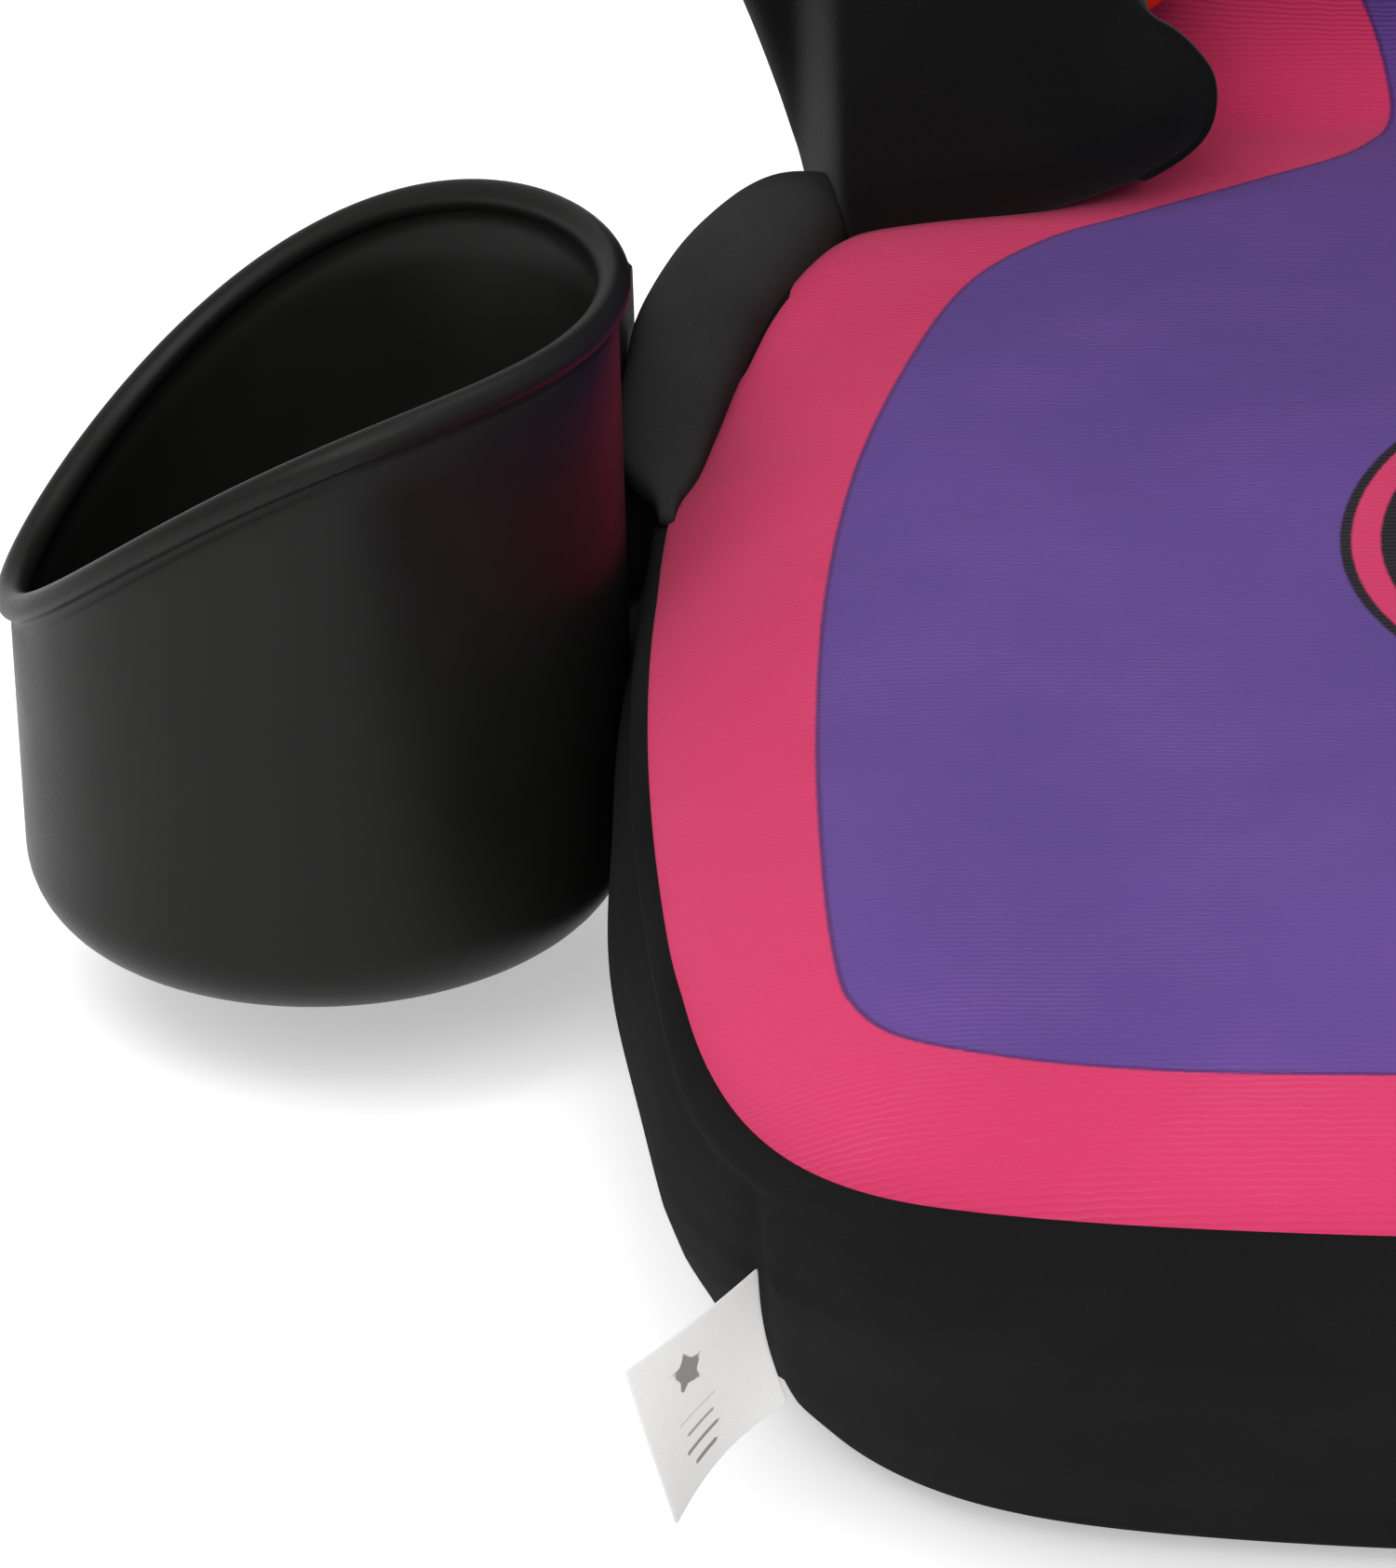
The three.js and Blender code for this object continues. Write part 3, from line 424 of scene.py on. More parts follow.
def printed_fabric():
    """Printed cover fabric. The print is drawn from distances stored on the cover's points:
    purple inside the large outline, pink outside, and a plain star badge in the middle."""
    n = Nodes("printed_fabric")
    cloth = n.stored("cloth", "Vector")
    fuzz = n.math("MULTIPLY", n.math("SUBTRACT", n.noise(cloth, 0.9, 3.0), 0.5), 0.5)

    def inside(what, edge=0.0, soft=0.35):
        distance = n.math("ADD", n.stored(what), fuzz)
        return n.range(distance, edge - soft, edge + soft, 1.0, 0.0)

    pink, pink_deep = rgb(206, 54, 99), rgb(198, 49, 92)
    purple, purple_deep = rgb(92, 65, 139), rgb(84, 59, 130)
    outline, ink = rgb(84, 40, 100), rgb(16, 14, 18)
    cloud = n.range(n.noise(cloth, 0.012, 3.0), 0.3, 0.7)
    pinks = n.mix(cloud, pink, pink_deep)
    purples = n.mix(cloud, purple, purple_deep)
    colour = n.mix(inside("purple", 0.4), pinks, outline)
    colour = n.mix(inside("purple", -0.4), colour, purples)
    colour = n.mix(inside("badge", 0.0), colour, ink)
    colour = n.mix(inside("badge", -1.9), colour, pinks)
    colour = n.mix(inside("badge", -6.6), colour, ink)
    colour = n.mix(inside("star", 0.0), colour, pinks)
    # ribs of the knit run across the seat; they show lighter where they catch the light
    parts = n.add("ShaderNodeSeparateXYZ", Vector=cloth)
    wander = n.math("MULTIPLY", n.noise(cloth, 0.25, 2.0), 1.2)
    rib = n.math("SINE", n.math("MULTIPLY", n.math("ADD", parts.outputs[1], wander), 2 * math.pi / 1.3))
    patch = n.range(n.noise(cloth, 0.03, 2.0), 0.4, 0.75, 0.15, 1.0)
    light = n.math("MULTIPLY", n.range(rib, 0.4, 1.0), patch)
    colour = n.mix(n.math("MULTIPLY", light, 0.09), colour, rgb(200, 150, 210))
    thread = n.noise(cloth, 3.0, 3.0)
    colour = n.mix(n.range(thread, 0.3, 0.7, 0.0, 0.10), colour, rgb(60, 30, 60))
    height = n.math("ADD", n.math("MULTIPLY", rib, 0.5), thread)
    return n.finish(
        Base_Color=colour, Roughness=0.88, Normal=n.bump(height, 0.00010),
        Sheen_Weight=0.06, Sheen_Roughness=0.5, Specular_IOR_Level=0.2)


def brushed_steel():
    n = Nodes("zinc_steel")
    streak = n.add("ShaderNodeMapping", Vector=n.object_mm(), Scale=(0.15, 4.0, 4.0)).outputs[0]
    line = n.noise(streak, 1.0, 3.0)
    base = n.mix(line, (0.52, 0.53, 0.55, 1), (0.66, 0.67, 0.69, 1))
    return n.finish(
        Base_Color=base, Metallic=1.0, Roughness=n.range(line, 0.3, 0.7, 0.28, 0.42),
        Normal=n.bump(line, 0.00002))


def black_rubber():
    n = Nodes("black_rubber")
    grain = n.noise(n.object_mm(), 1.2, 4.0)
    base = n.mix(grain, rgb(26, 26, 26), rgb(40, 40, 40))
    return n.finish(Base_Color=base, Roughness=0.85, Normal=n.bump(grain, 0.00008))


def bead_foam():
    """Charcoal foam moulded from beads, with a shallow dimple between them."""
    n = Nodes("bead_foam")
    beads = n.add("ShaderNodeTexVoronoi", Vector=n.object_mm(), Scale=0.3).outputs["Distance"]
    base = n.mix(beads, rgb(62, 62, 62), rgb(44, 44, 44))
    return n.finish(Base_Color=base, Roughness=0.9, Normal=n.bump(beads, 0.0003))


def tag_cloth():
    """White satin tag with a plain printed star and a few grey bars, and no lettering."""
    n = Nodes("tag_cloth")
    weave = n.noise(n.object_mm(), 4.0, 3.0)
    paper = n.mix(weave, rgb(205, 204, 203), rgb(222, 221, 220))
    ink = n.range(n.stored("print"), -0.12, 0.12, 1.0, 0.0)
    base = n.mix(n.math("MULTIPLY", ink, 0.85), paper, rgb(96, 92, 92))
    return n.finish(Base_Color=base, Roughness=0.6, Normal=n.bump(weave, 0.00006), Sheen_Weight=0.1)


MATERIALS = {
    "black_plastic": moulded_plastic("black_plastic", rgb(22, 22, 21), 0.40, 0.14),
    "orange_plastic": moulded_plastic("orange_plastic", rgb(240, 44, 16), 0.32),
    "black_fabric": black_fabric("black_fabric", rgb(21, 21, 21), rgb(28, 28, 28)),
    "printed_fabric": printed_fabric(),
    "steel": brushed_steel(),
    "rubber": black_rubber(),
    "foam": bead_foam(),
    "tag": tag_cloth(),
}
# Darker copy of the black fabric for the bolsters: painted shade, standing in for the shade they lie in
BOLSTER_FABRIC_PAINTED_SHADE = black_fabric("bolster_fabric_painted_shade", rgb(18, 18, 18), rgb(24, 24, 24), sheen=0.12)
# Lighter copy of the same black fabric for the armrest rolls: painted light on their top-facing surfaces
ARMREST_FABRIC_PAINTED_LIGHT = black_fabric("armrest_fabric_painted_light", rgb(40, 40, 40), rgb(52, 52, 52))
for part in frame["record"]["subparts"]:
    mesh = frame["nodes"][part["node"]].data
    mesh.materials.clear()
    mesh.materials.append(MATERIALS[part["material_slot"]])

# ---------------------------------------------------------------- cover: printed seat and back


def seam_half(rear):
    """Half of the seam round the printed top, from its front middle to the rear, as seen from above."""
    corner = SEAT_FRONT + 64
    return np.vstack([
        bezier((0, SEAT_FRONT), (60, SEAT_FRONT), (95, SEAT_FRONT + 2), (118, SEAT_FRONT + 8), 24),
        bezier((118, SEAT_FRONT + 8), (142, SEAT_FRONT + 15), (152, SEAT_FRONT + 34), (158, corner), 40),
        bezier((158, corner), (168, corner + 52), (SEAT_HALF, SEAT_WIDEST - 50), (SEAT_HALF, SEAT_WIDEST),
               36),
        rear,
    ])


# Inner edge of the armrest roll, which the printed cover meets: x against Y
ARMREST_Y = [-3.5, 2.5, 11, 25, 40, 55, 70, 85, 97, 106, 110]
ARMREST_INNER = [174, 173.4, 171, 169, 167, 164, 160, 155.5, 152.5, 151, 153]
ARMREST_OUTER = [176.5, 178.5, 184, 186, 186, 185.5, 182.5, 178, 173, 168, 162]
ARMREST_TOP = [81.5, 83.6, 86.6, 90, 92.7, 95.4, 97.5, 98.4, 97.6, 94.5, 88.5]

ARC = math.pi / 2 - LEAN                                     # angle turned at the bight
CORNER_Y = BIGHT[0] + 10 / math.cos(LEAN) + (SEAM_Z - BIGHT[1]) * math.tan(LEAN)
ARC_START = CORNER_Y - BIGHT_RADIUS * math.tan(ARC / 2)
ARC_END = ARC_START + BIGHT_RADIUS * ARC


def back_length(w):
    """Distance along the cover of the height w on the back."""
    corner_w = (SEAM_Z - BIGHT[1]) / math.cos(LEAN)
    return ARC_END + w - corner_w - BIGHT_RADIUS * math.tan(ARC / 2)


def cover_outline():
    """Outline of the printed cover laid flat along the seat and back: (x, distance from seat origin)."""
    top = back_length(BACK_PAD_TOP)
    beside = np.arange(-8, 101, 4.0)
    inner = np.interp(beside, ARMREST_Y, ARMREST_INNER) + 1.0
    rear = np.vstack([
        np.column_stack([inner, beside]),
        bezier((153, 104), (150, 130), (109, 150), (97, 186), 24),
        bezier((97, 186), (94.5, 195), (94, 215), (94, 240), 10),
        bezier((94, 240), (94, 300), (94, top - 60), (94, top - 18), 24),
        bezier((94, top - 18), (94, top - 6), (88, top), (76, top), 14),
        bezier((76, top), (50, top), (25, top), (0, top), 10),
        [(0, top)],
    ])
    return mirror_outline(seam_half(rear))


def cover_place(flat, height):
    """Places of the cover's points, each `height` proud of its base."""
    x, s = flat.T
    turn = np.clip((s - ARC_START) / BIGHT_RADIUS, 0, ARC)
    beyond = np.maximum(s - ARC_END, 0)
    y = (np.minimum(s, ARC_START) + BIGHT_RADIUS * np.sin(turn) + beyond * math.sin(LEAN)
         - height * np.sin(turn))
    z = SEAM_Z + BIGHT_RADIUS * (1 - np.cos(turn)) + beyond * math.cos(LEAN) + height * np.cos(turn)
    return np.stack([x, y, z], -1)


def cover_height(flat, inward):
    """Height of the padding over the cover's base."""
    x, s = flat.T
    seat = 1 - step(ARC_START - 30, ARC_END, s)
    height = (CROWN * seat + PAD_CROWN * (1 - seat)) * dome(inward, 46.0)
    height += 1.6 * seat * np.exp(-((x / 120.0) ** 2)) * step(0, 60, inward)
    # the front rolls down a little sooner than the sides
    height -= 3.2 * (1 - step(SEAT_FRONT + 6, SEAT_FRONT + 92, s))
    # beside the armrest the padding is drawn up to the roll, then dips behind it
    height += 6.0 * step(-34, 84, s) * (1 - 0.75 * step(98, 122, s)) * np.exp(-(inward / 26.0) ** 2)
    height += 4.2 * bell(s, 74, 26) * np.exp(-(inward / 9.0) ** 2)
    # the bolsters press the padding down behind the armrests
    height -= 3.0 * step(84, 118, s) * step(80, 132, np.abs(x)) * seat
    height -= 2.0 * bell(s, 118, 15) * bell(np.abs(x), 138, 22)
    # the bight is pulled down
    height -= 2.0 * bell(s, 148, 26)
    return height + 0.4 * waves(flat, 80, 0.4) * step(6, 50, inward)


def star_outline(radius, inner, points=5):
    """A plain star, one point towards +Y."""
    turn = math.pi / 2 + np.arange(2 * points) * math.pi / points
    reach = np.where(np.arange(2 * points) % 2 == 0, radius, inner)
    return np.stack([reach * np.cos(turn), reach * np.sin(turn)], 1)


def purple_outline():
    """Edge of the purple print on the cover laid flat: a broad field on the seat, a neck at the bight,
    and a second field up the back."""
    half = [
        (0, -209), (40, -209), (76, -208), (104, -204.5), (122, -198), (131, -187), (135, -172), (139, -142),
        (143, -98), (145, -50), (143.5, -6), (138, 32), (129.5, 66), (117, 85), (100, 98), (82, 110),
        (66, 124), (60, 142), (61, 160), (66, 182), (74, 206), (82, 250), (84, 330), (82, 420), (74, 500),
        (56, 545), (30, 562), (0, 567),
    ]
    return smooth_closed(mirror_outline(half), 10)


def seat_cover():
    """One continuous padded cover over the seat and up the back."""
    top = back_length(BACK_PAD_TOP)
    corners = [(-147, -208), (147, -208), (92, top - 6), (-92, top - 6)]
    patch = Patch(cover_outline(), corners, 300, 121)
    height = cover_height(patch.flat, patch.inward)
    edge = height[patch.loop]
    low = edge - COVER_DEPTH
    rings = [(0.3, edge - 0.8), (-0.2, edge - 1.9), (-1.6, low), (-4.0, low - 0.6)]
    under = np.minimum(height - COVER_DEPTH - 1.0, 2.0)
    piece = patch.closed_form("seat_cover", height, rings, under, cover_place, MATERIALS["printed_fabric"])
    cloth = np.array([entry.vector[:2] for entry in piece.data.attributes["cloth"].data])
    turn = np.linspace(0, 2 * math.pi, 160, endpoint=False)
    badge = np.stack([63.0 * np.cos(turn), -31 + 70.0 * np.sin(turn)], 1)
    attribute(piece, "purple", signed_distance(cloth, purple_outline()))
    attribute(piece, "badge", signed_distance(cloth, badge))
    attribute(piece, "star", signed_distance(cloth, star_outline(27, 11.5) + (0, -31)))
    return piece


cover = seat_cover()
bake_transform(cover)
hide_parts("seat_cushion", "back_pad")

# ---------------------------------------------------------------- black side and front panels


def hem_half(rear):
    """Half of the line where the side panels turn in under the tray."""
    return np.vstack([
        bezier((0, -200), (50, -200), (88, -198), (107, -190), 24),
        bezier((107, -190), (125, -183), (134, -171), (145, -150), 40),
        bezier((145, -150), (160, -120), (173, -72), (173, SEAT_WIDEST), 36),
        rear,
    ])


def side_panels():
    """Black fabric band from the seam down round the tray, with a rolled top edge and corner seams."""
    rears = [
        np.vstack([bezier((x, SEAT_WIDEST), (x + 1, 30), (178, 70), (176, 100), 24),
                   bezier((176, 100), (174, 116), (170, 128), (166, 137), 12), [(166, 137)]])
        for x in (SEAT_HALF, 173)]
    seam, hem = (np.vstack([(half[1:] * (-1, 1))[::-1], half])
                 for half in (seam_half(rears[0]), hem_half(rears[1])))
    seam_steps = np.r_[0, np.cumsum(np.linalg.norm(np.diff(seam, axis=0), axis=1))]
    even = np.linspace(0, seam_steps[-1], 700)
    seam, hem = (
        np.stack([np.interp(even, seam_steps, line[:, k]) for k in (0, 1)], 1) for line in (seam, hem))
    along = np.gradient(seam, axis=0)
    normal = np.stack([along[:, 1], -along[:, 0]], 1) / np.linalg.norm(along, axis=1)[:, None]
    frontness = step(0.05, 0.75, -normal[:, 1])
    # height, share of the way from the seam to the hem, how far out at the sides and at the front
    profile = np.array([
        (SEAM_Z - 1.2, 0, -3.4, -3.4), (SEAM_Z + 0.2, 0, -1.2, -1.2), (SEAM_Z + 0.3, 0, 0.8, 0.7),
        (SEAM_Z - 1.2, 0, 2.4, 2.2), (SEAM_Z - 3.4, 0, 2.7, 2.5), (SEAM_Z - 5.4, 0.0, 1.7, 1.5),
        (SEAM_Z - 9.0, 0.0, 3.0, 1.7), (63.0, 0.03, 5.2, 1.6), (54.0, 0.09, 7.0, 0.8), (45.0, 0.20, 8.0, 0.2),
        (33.0, 0.38, 7.6, 0.0), (21.0, 0.56, 5.6, 0.0), (11.0, 0.73, 3.0, 0.0), (5.0, 0.85, 0.6, 0.0),
        (2.4, 0.95, -2.5, 0.0), (3.2, 1.06, -9.0, -2.0), (6.0, 1.06, -11.0, -6.0)])
    count = 60
    depth = np.r_[0, np.cumsum(np.linalg.norm(np.diff(profile[:, [0, 3]], axis=0), axis=1) + 0.2)]
    at = np.linspace(0, depth[-1], count)
    z, share, side, front = (np.interp(at, depth, profile[:, k]) for k in range(4))
    rows = []
    for k in range(count):
        low = step(3, 26, SEAM_Z - z[k])
        base = seam + (hem - seam) * share[k]
        from_corner = np.abs(np.abs(base[:, 0]) - 143.5) + 40 * (base[:, 1] > -150)
        beside_plate = 4.5 * bell(seam[:, 1], 14, 20) * step(8, 26, z[k]) * (1 - step(54, 60, z[k]))
        out = (side[k] + beside_plate) * (1 - frontness) + front[k] * frontness
        out = out - 1.5 * np.exp(-(from_corner / 1.7) ** 2) * step(3, 10, SEAM_Z - z[k])
        out = out + 0.5 * waves(np.column_stack([seam, np.full(len(seam), 2.0 * z[k])]), 95, 1.1) * low
        rows.append(np.column_stack([base + normal * out[:, None], np.full(len(seam), z[k])]))
    points = np.vstack(rows)
    points[:, 0] = np.sign(points[:, 0]) * np.minimum(np.abs(points[:, 0]), panel_limit(points))
    faces = [(d, c, b, a) for a, b, c, d in grid_faces(count, len(seam))]
    piece = mesh_object("seat_side_panels", points, faces, MATERIALS["black_fabric"])
    cloth = piece.modifiers.new("cloth_thickness", "SOLIDIFY")
    cloth.thickness = 2.4 * MM
    cloth.offset = -1
    return piece


def panel_limit(points):
    """How far out the side panel may reach: it dents round the cup and goes behind the bracket."""
    y, z = points[:, 1], points[:, 2]
    room = CUP["top"] + 1.4
    across = np.maximum(room ** 2 - (y - CUP["y"]) ** 2, 0)
    beside_cup = np.where(across > 0, CUP["x"] - np.sqrt(across), 300)
    beside_cup = beside_cup + 60 * (1 - step(8, 15, z))
    in_bracket = (step(BRACKET["y"][0] - 4, BRACKET["y"][0] - 0.6, y)
                  * (1 - step(BRACKET["y"][1] + 0.6, BRACKET["y"][1] + 4, y))
                  * step(BRACKET["low"] - 4, BRACKET["low"], z))
    behind_bracket = BRACKET["face"] + 30 * (1 - in_bracket)
    return np.minimum(beside_cup, behind_bracket)


panels = side_panels()
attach(panels, "base")
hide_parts("seat_boxing")

# ---------------------------------------------------------------- armrest rolls


def armrest_roll():
    """Padded roll beside the seat, flattened to a flap at its front tip and round at the rear."""
    shares = np.linspace(0, 1, 90)
    at = np.interp(shares, np.linspace(0, 1, len(ARMREST_Y)), np.arange(len(ARMREST_Y)))
    line = smooth_stations(at, ARMREST_Y, ARMREST_INNER, ARMREST_OUTER, ARMREST_TOP)
    around = np.linspace(0, 2 * math.pi, 64, endpoint=False)
    c, s = np.cos(around), np.sin(around)
    rings = []
    for y, inner, outer, top in line:
        bottom = SEAM_Z + 0.6
        middle, tall = (top + bottom) / 2, (top - bottom) / 2
        x = (inner + outer) / 2 + (outer - inner) / 2 * np.sign(c) * np.abs(c) ** 0.84
        z = middle + tall * np.sign(s) * np.abs(s) ** np.where(s > 0, 0.86, 0.6)
        rings.append(np.column_stack([x, np.full(len(around), y), z]))
    points = np.vstack(rings)
    points[:, 2] += 0.35 * waves(points, 34, 3.0)
    faces = [(d, c, b, a) for a, b, c, d in grid_faces(len(rings), len(around), closed=True)]
    last = len(points) - len(around)
    faces += [list(range(len(around))), [last + i for i in range(len(around))][::-1]]
    # the roll wears the lighter copy of the black fabric, with painted light
    return mesh_object("armrest_roll_left", points, faces, ARMREST_FABRIC_PAINTED_LIGHT)


def smooth_stations(at, *columns):
    """Values along a smooth curve through stations, at fractional station numbers."""
    rows = np.column_stack(columns).astype(float)
    padded = np.vstack([2 * rows[0] - rows[1], rows, 2 * rows[-1] - rows[-2]])
    low = np.minimum(at.astype(int), len(rows) - 2)
    t = (at - low)[:, None]
    p0, p1, p2, p3 = (padded[low + k] for k in range(4))
    return 0.5 * (2 * p1 + (p2 - p0) * t + (2 * p0 - 5 * p1 + 4 * p2 - p3) * t ** 2
                  + (3 * p1 - 3 * p2 + p3 - p0) * t ** 3)


pair(armrest_roll(), "armrest_roll", "base", "armrest_pad")

# ---------------------------------------------------------------- cup holders


def cup_profile(rim):
    """Section of the tub where its rim is at height `rim`: radius and height, outside then inside."""
    base, top, corner, wall = (CUP[k] for k in ("base", "top", "corner", "wall"))
    floor, bead = CUP["floor"], CUP["bead"]
    level = np.linspace(0, 1, 16)[1:-1, None]
    low = np.array([base, floor + corner])
    high = np.array([top, rim - 2 * bead - 2.4])
    step_in = np.array([top - 0.7, rim - 2 * bead - 1.2])
    inner_high, inner_low = high - (wall, 0.5), low - (wall, 0)
    return np.vstack([
        np.column_stack([np.linspace(2, base - corner - 2, 5), np.full(5, floor)]),
        arc((base - corner, floor + corner), corner, -90, 0, 14),
        low + (high - low) * level,
        [high, high + (-0.15, 0.5), step_in],
        arc((top - 0.5, rim - bead), bead, -70, 250, 28),
        [inner_high],
        inner_high + (inner_low - inner_high) * level,
        arc((base - corner, floor + corner), corner - wall, 0, -90, 10),
        np.column_stack([np.linspace(base - corner - 2, 2, 5), np.full(5, floor + wall)]),
    ])


def upright_prism(outline, low, high):
    """Points and faces of an anticlockwise plan outline pushed up from `low` to `high`."""
    count = len(outline)
    points = [(x, y, z) for z in (low, high) for x, y in outline]
    sides = [(k, (k + 1) % count, (k + 1) % count + count, k + count) for k in range(count)]
    return points, sides + [tuple(range(count))[::-1], tuple(range(count, 2 * count))]


def tongue_outlines():
    """Plan of the tongue that hangs in the bracket: its head, and the neck that ends in the tub's wall."""
    (front, rear), (head_in, head_out) = NECK["neck_y"], NECK["head_x"]
    radius = CUP["base"] - CUP["wall"] / 2
    start = math.acos((front - CUP["y"]) / radius)
    end = math.acos((NECK["tip_y"] - CUP["y"]) / radius)
    turn = np.linspace(start, end, 8)
    wall = np.column_stack([CUP["x"] - radius * np.sin(turn), CUP["y"] + radius * np.cos(turn)])
    neck = [(head_out - 0.2, front), *wall.tolist(), (wall[-1][0], rear), (head_out - 0.2, rear)]
    head = [(head_in, NECK["head_y"][0]), (head_out, NECK["head_y"][0]),
            (head_out, NECK["head_y"][1]), (head_in, NECK["head_y"][1])]
    return neck, head


def cup_holder():
    """Round tub on the +X side, with its rolled rim high beside the seat and dipping outwards."""
    around = np.linspace(0, 2 * math.pi, 192, endpoint=False)
    rows = []
    for turn in around:
        dip = ((1 - math.cos(turn)) / 2) ** CUP["dip_power"]
        section = cup_profile(CUP["high"] - CUP["drop"] * dip)
        x = CUP["x"] - section[:, 0] * math.cos(turn)
        y = CUP["y"] + section[:, 0] * math.sin(turn)
        rows.append(np.column_stack([x, y, section[:, 1]]))
    per_row = len(rows[0])
    points = np.vstack(rows).tolist()
    faces = []
    for i in range(len(rows)):
        j = (i + 1) % len(rows)
        faces += [(i * per_row + k, i * per_row + k + 1, j * per_row + k + 1, j * per_row + k)
                  for k in range(per_row - 1)]
    faces.append([i * per_row for i in range(len(rows))])
    faces.append([i * per_row + per_row - 1 for i in range(len(rows))][::-1])
    flat_from = len(faces)
    for outline in tongue_outlines():
        corners, sides = upright_prism(outline, *NECK["z"])
        faces += [tuple(len(points) + k for k in side) for side in sides]
        points += corners
    piece = mesh_object("cup_tub_left", points, faces, MATERIALS["black_plastic"])
    for polygon in piece.data.polygons[flat_from:]:
        polygon.use_smooth = False
    return piece


pair(cup_holder(), "cup_tub", "cup_{side}", "cup_holder")

# ---------------------------------------------------------------- side bolsters


def against_back(flat, height):
    """Places of a pad's points, `height` in front of the back's own plane."""
    return on_back(flat[:, 0], -height, flat[:, 1])


def bolster_outline():
    """Front outline of the left bolster, anticlockwise from its lower inner end."""
    return smooth_closed([
        (93, 15), (100, 10), (110, 5.5), (125, 1), (143, -2), (153, -3), (159.5, -1.5), (162.5, 7),
        (165.5, 18), (170, 33), (178.6, 60), (188.1, 100), (194.6, 145), (198, 190), (199, 240), (198, 300),
        (194.5, 350), (188.5, 385), (175, 402), (150, 405), (122, 403), (104, 394), (97, 372), (96, 330),
        (96, 250), (98, 202), (104.5, 186), (105, 140), (105, 90), (105, 56), (104, 43), (100.5, 37.6),
        (96, 34.6), (92.4, 31), (89.8, 26.5), (90, 20)], 10)


def bolster_back(x, w):
    """How far forward the bolster's rear face lies: against the shell's plate, round the outside of
    its wing, and further forward in the lobe under the belt slot."""
    lobe = step(0, 4, 105 - x) * (1 - step(50, 62, w))
    return -25.5 + 16.5 * step(143, 160, x) + 73.5 * lobe


def wing_front(w):
    """Front edge of the shell's wing, with its two corners smoothed."""
    near = np.linspace(-26, 26, 9)[:, None]
    return np.interp(w + near, [10, 128, 330, 410], [-29, WING_FRONT, WING_FRONT, -10]).mean(axis=0)


def bolster():
    """Padded side bolster, drawn over the shell's wing: thin at the foot, deepest at chest height."""
    patch = Patch(bolster_outline(), [(93, 15), (160, 3), (188.5, 385), (101, 388)], 190, 70)
    x, w = patch.flat.T
    inner_front = -58 + 42 * step(330, 405, w)
    outer_front = wing_front(w) - 3.5 - 2.5 * bell(w, 330, 30) - 1.5 * bell(w, 128, 30)
    front = inner_front + (outer_front - inner_front) * step(151, 163, x)
    outer = step(150, 168, x)
    rounding = 7 - 3 * outer
    top = -front - rounding * (1 - dome(patch.inward, 15.0 - 10.0 * outer))
    top = top + 0.8 * waves(patch.flat, 60, 0.8) * step(4, 30, patch.inward)
    edge, rim_x = top[patch.loop], patch.rim[:, 0]
    back_depth = bolster_back(*patch.rim.T)
    wrap = [(0.7, 0.03), (1.1, 0.08), (1.2, 0.2), (1.2, 0.5), (1.0, 0.8), (0.4, 0.96), (-1.5, 1.0)]
    rings = [(outward * (1 - 0.6 * step(150, 168, rim_x)), edge + (back_depth - edge) * share)
             for outward, share in wrap]
    # the bolster wears the darker copy of the black fabric, with painted shade
    return patch.closed_form(
        "bolster_cover_left", top, rings, bolster_back(x, w), against_back, BOLSTER_FABRIC_PAINTED_SHADE)


pair(bolster(), "bolster_cover", "backrest", "bolster")

# ---------------------------------------------------------------- headrest cushion and wings


def headrest_cushion():
    """Crowned cushion in the headrest's bucket."""
    corners = [(-75, 443), (75, 443), (75, 581), (-75, 581)]
    patch = Patch(rounded_rectangle(-84, 434, 84, 590, 30), corners, 90, 100)
    top = -9.0 + 13.0 * dome(patch.inward, 34.0)
    top = top + 0.3 * waves(patch.flat, 50, 1.7) * step(6, 30, patch.inward)
    edge = top[patch.loop]
    rings = [(0.6, edge - 1.2), (0.6, edge - 3.2), (-0.6, np.full(len(edge), -15.0))]
    piece = patch.closed_form(
        "headrest_cushion", top, rings, -15.0, against_back, MATERIALS["printed_fabric"])
    cloth = np.array([entry.vector[:2] for entry in piece.data.attributes["cloth"].data])
    attribute(piece, "purple", signed_distance(cloth, rounded_rectangle(-66, 452, 66, 572, 24)))
    for what in ("badge", "star"):
        attribute(piece, what, np.full(len(cloth), 50.0))
    return piece


cushion = headrest_cushion()
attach(cushion, "headrest")
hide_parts("headrest_pad")


def headrest_wing():
    """Padded cheek of the headrest, with its flat side against the bucket's wall."""
    outline = smooth_closed([
        (-19, 436), (4, 434.5), (26, 436), (45, 464), (62, 500), (63.5, 515), (61, 532), (47, 549), (28, 556),
        (0, 556.5), (-16, 554), (-20, 540), (-20, 495), (-20, 450)], 10)
    patch = Patch(outline, [(-19, 437), (26, 437), (45, 551), (-18, 553)], 70, 56)
    top = 20.0 + 9.0 * dome(patch.inward, 24.0) + 0.4 * waves(patch.flat, 45, 2.2) * step(4, 20, patch.inward)
    edge = top[patch.loop]
    rings = [(0.5, edge * 0.9), (0.6, edge * 0.6), (0.6, edge * 0.3), (0.0, np.zeros(len(edge)))]

    def place(flat, height):
        return on_back(117.0 - height, -flat[:, 0], flat[:, 1])

    return patch.closed_form("headrest_cheek_left", top, rings, 0.0, place, MATERIALS["black_fabric"])


pair(headrest_wing(), "headrest_cheek", "headrest", "headrest_wing")

# ---------------------------------------------------------------- return spring


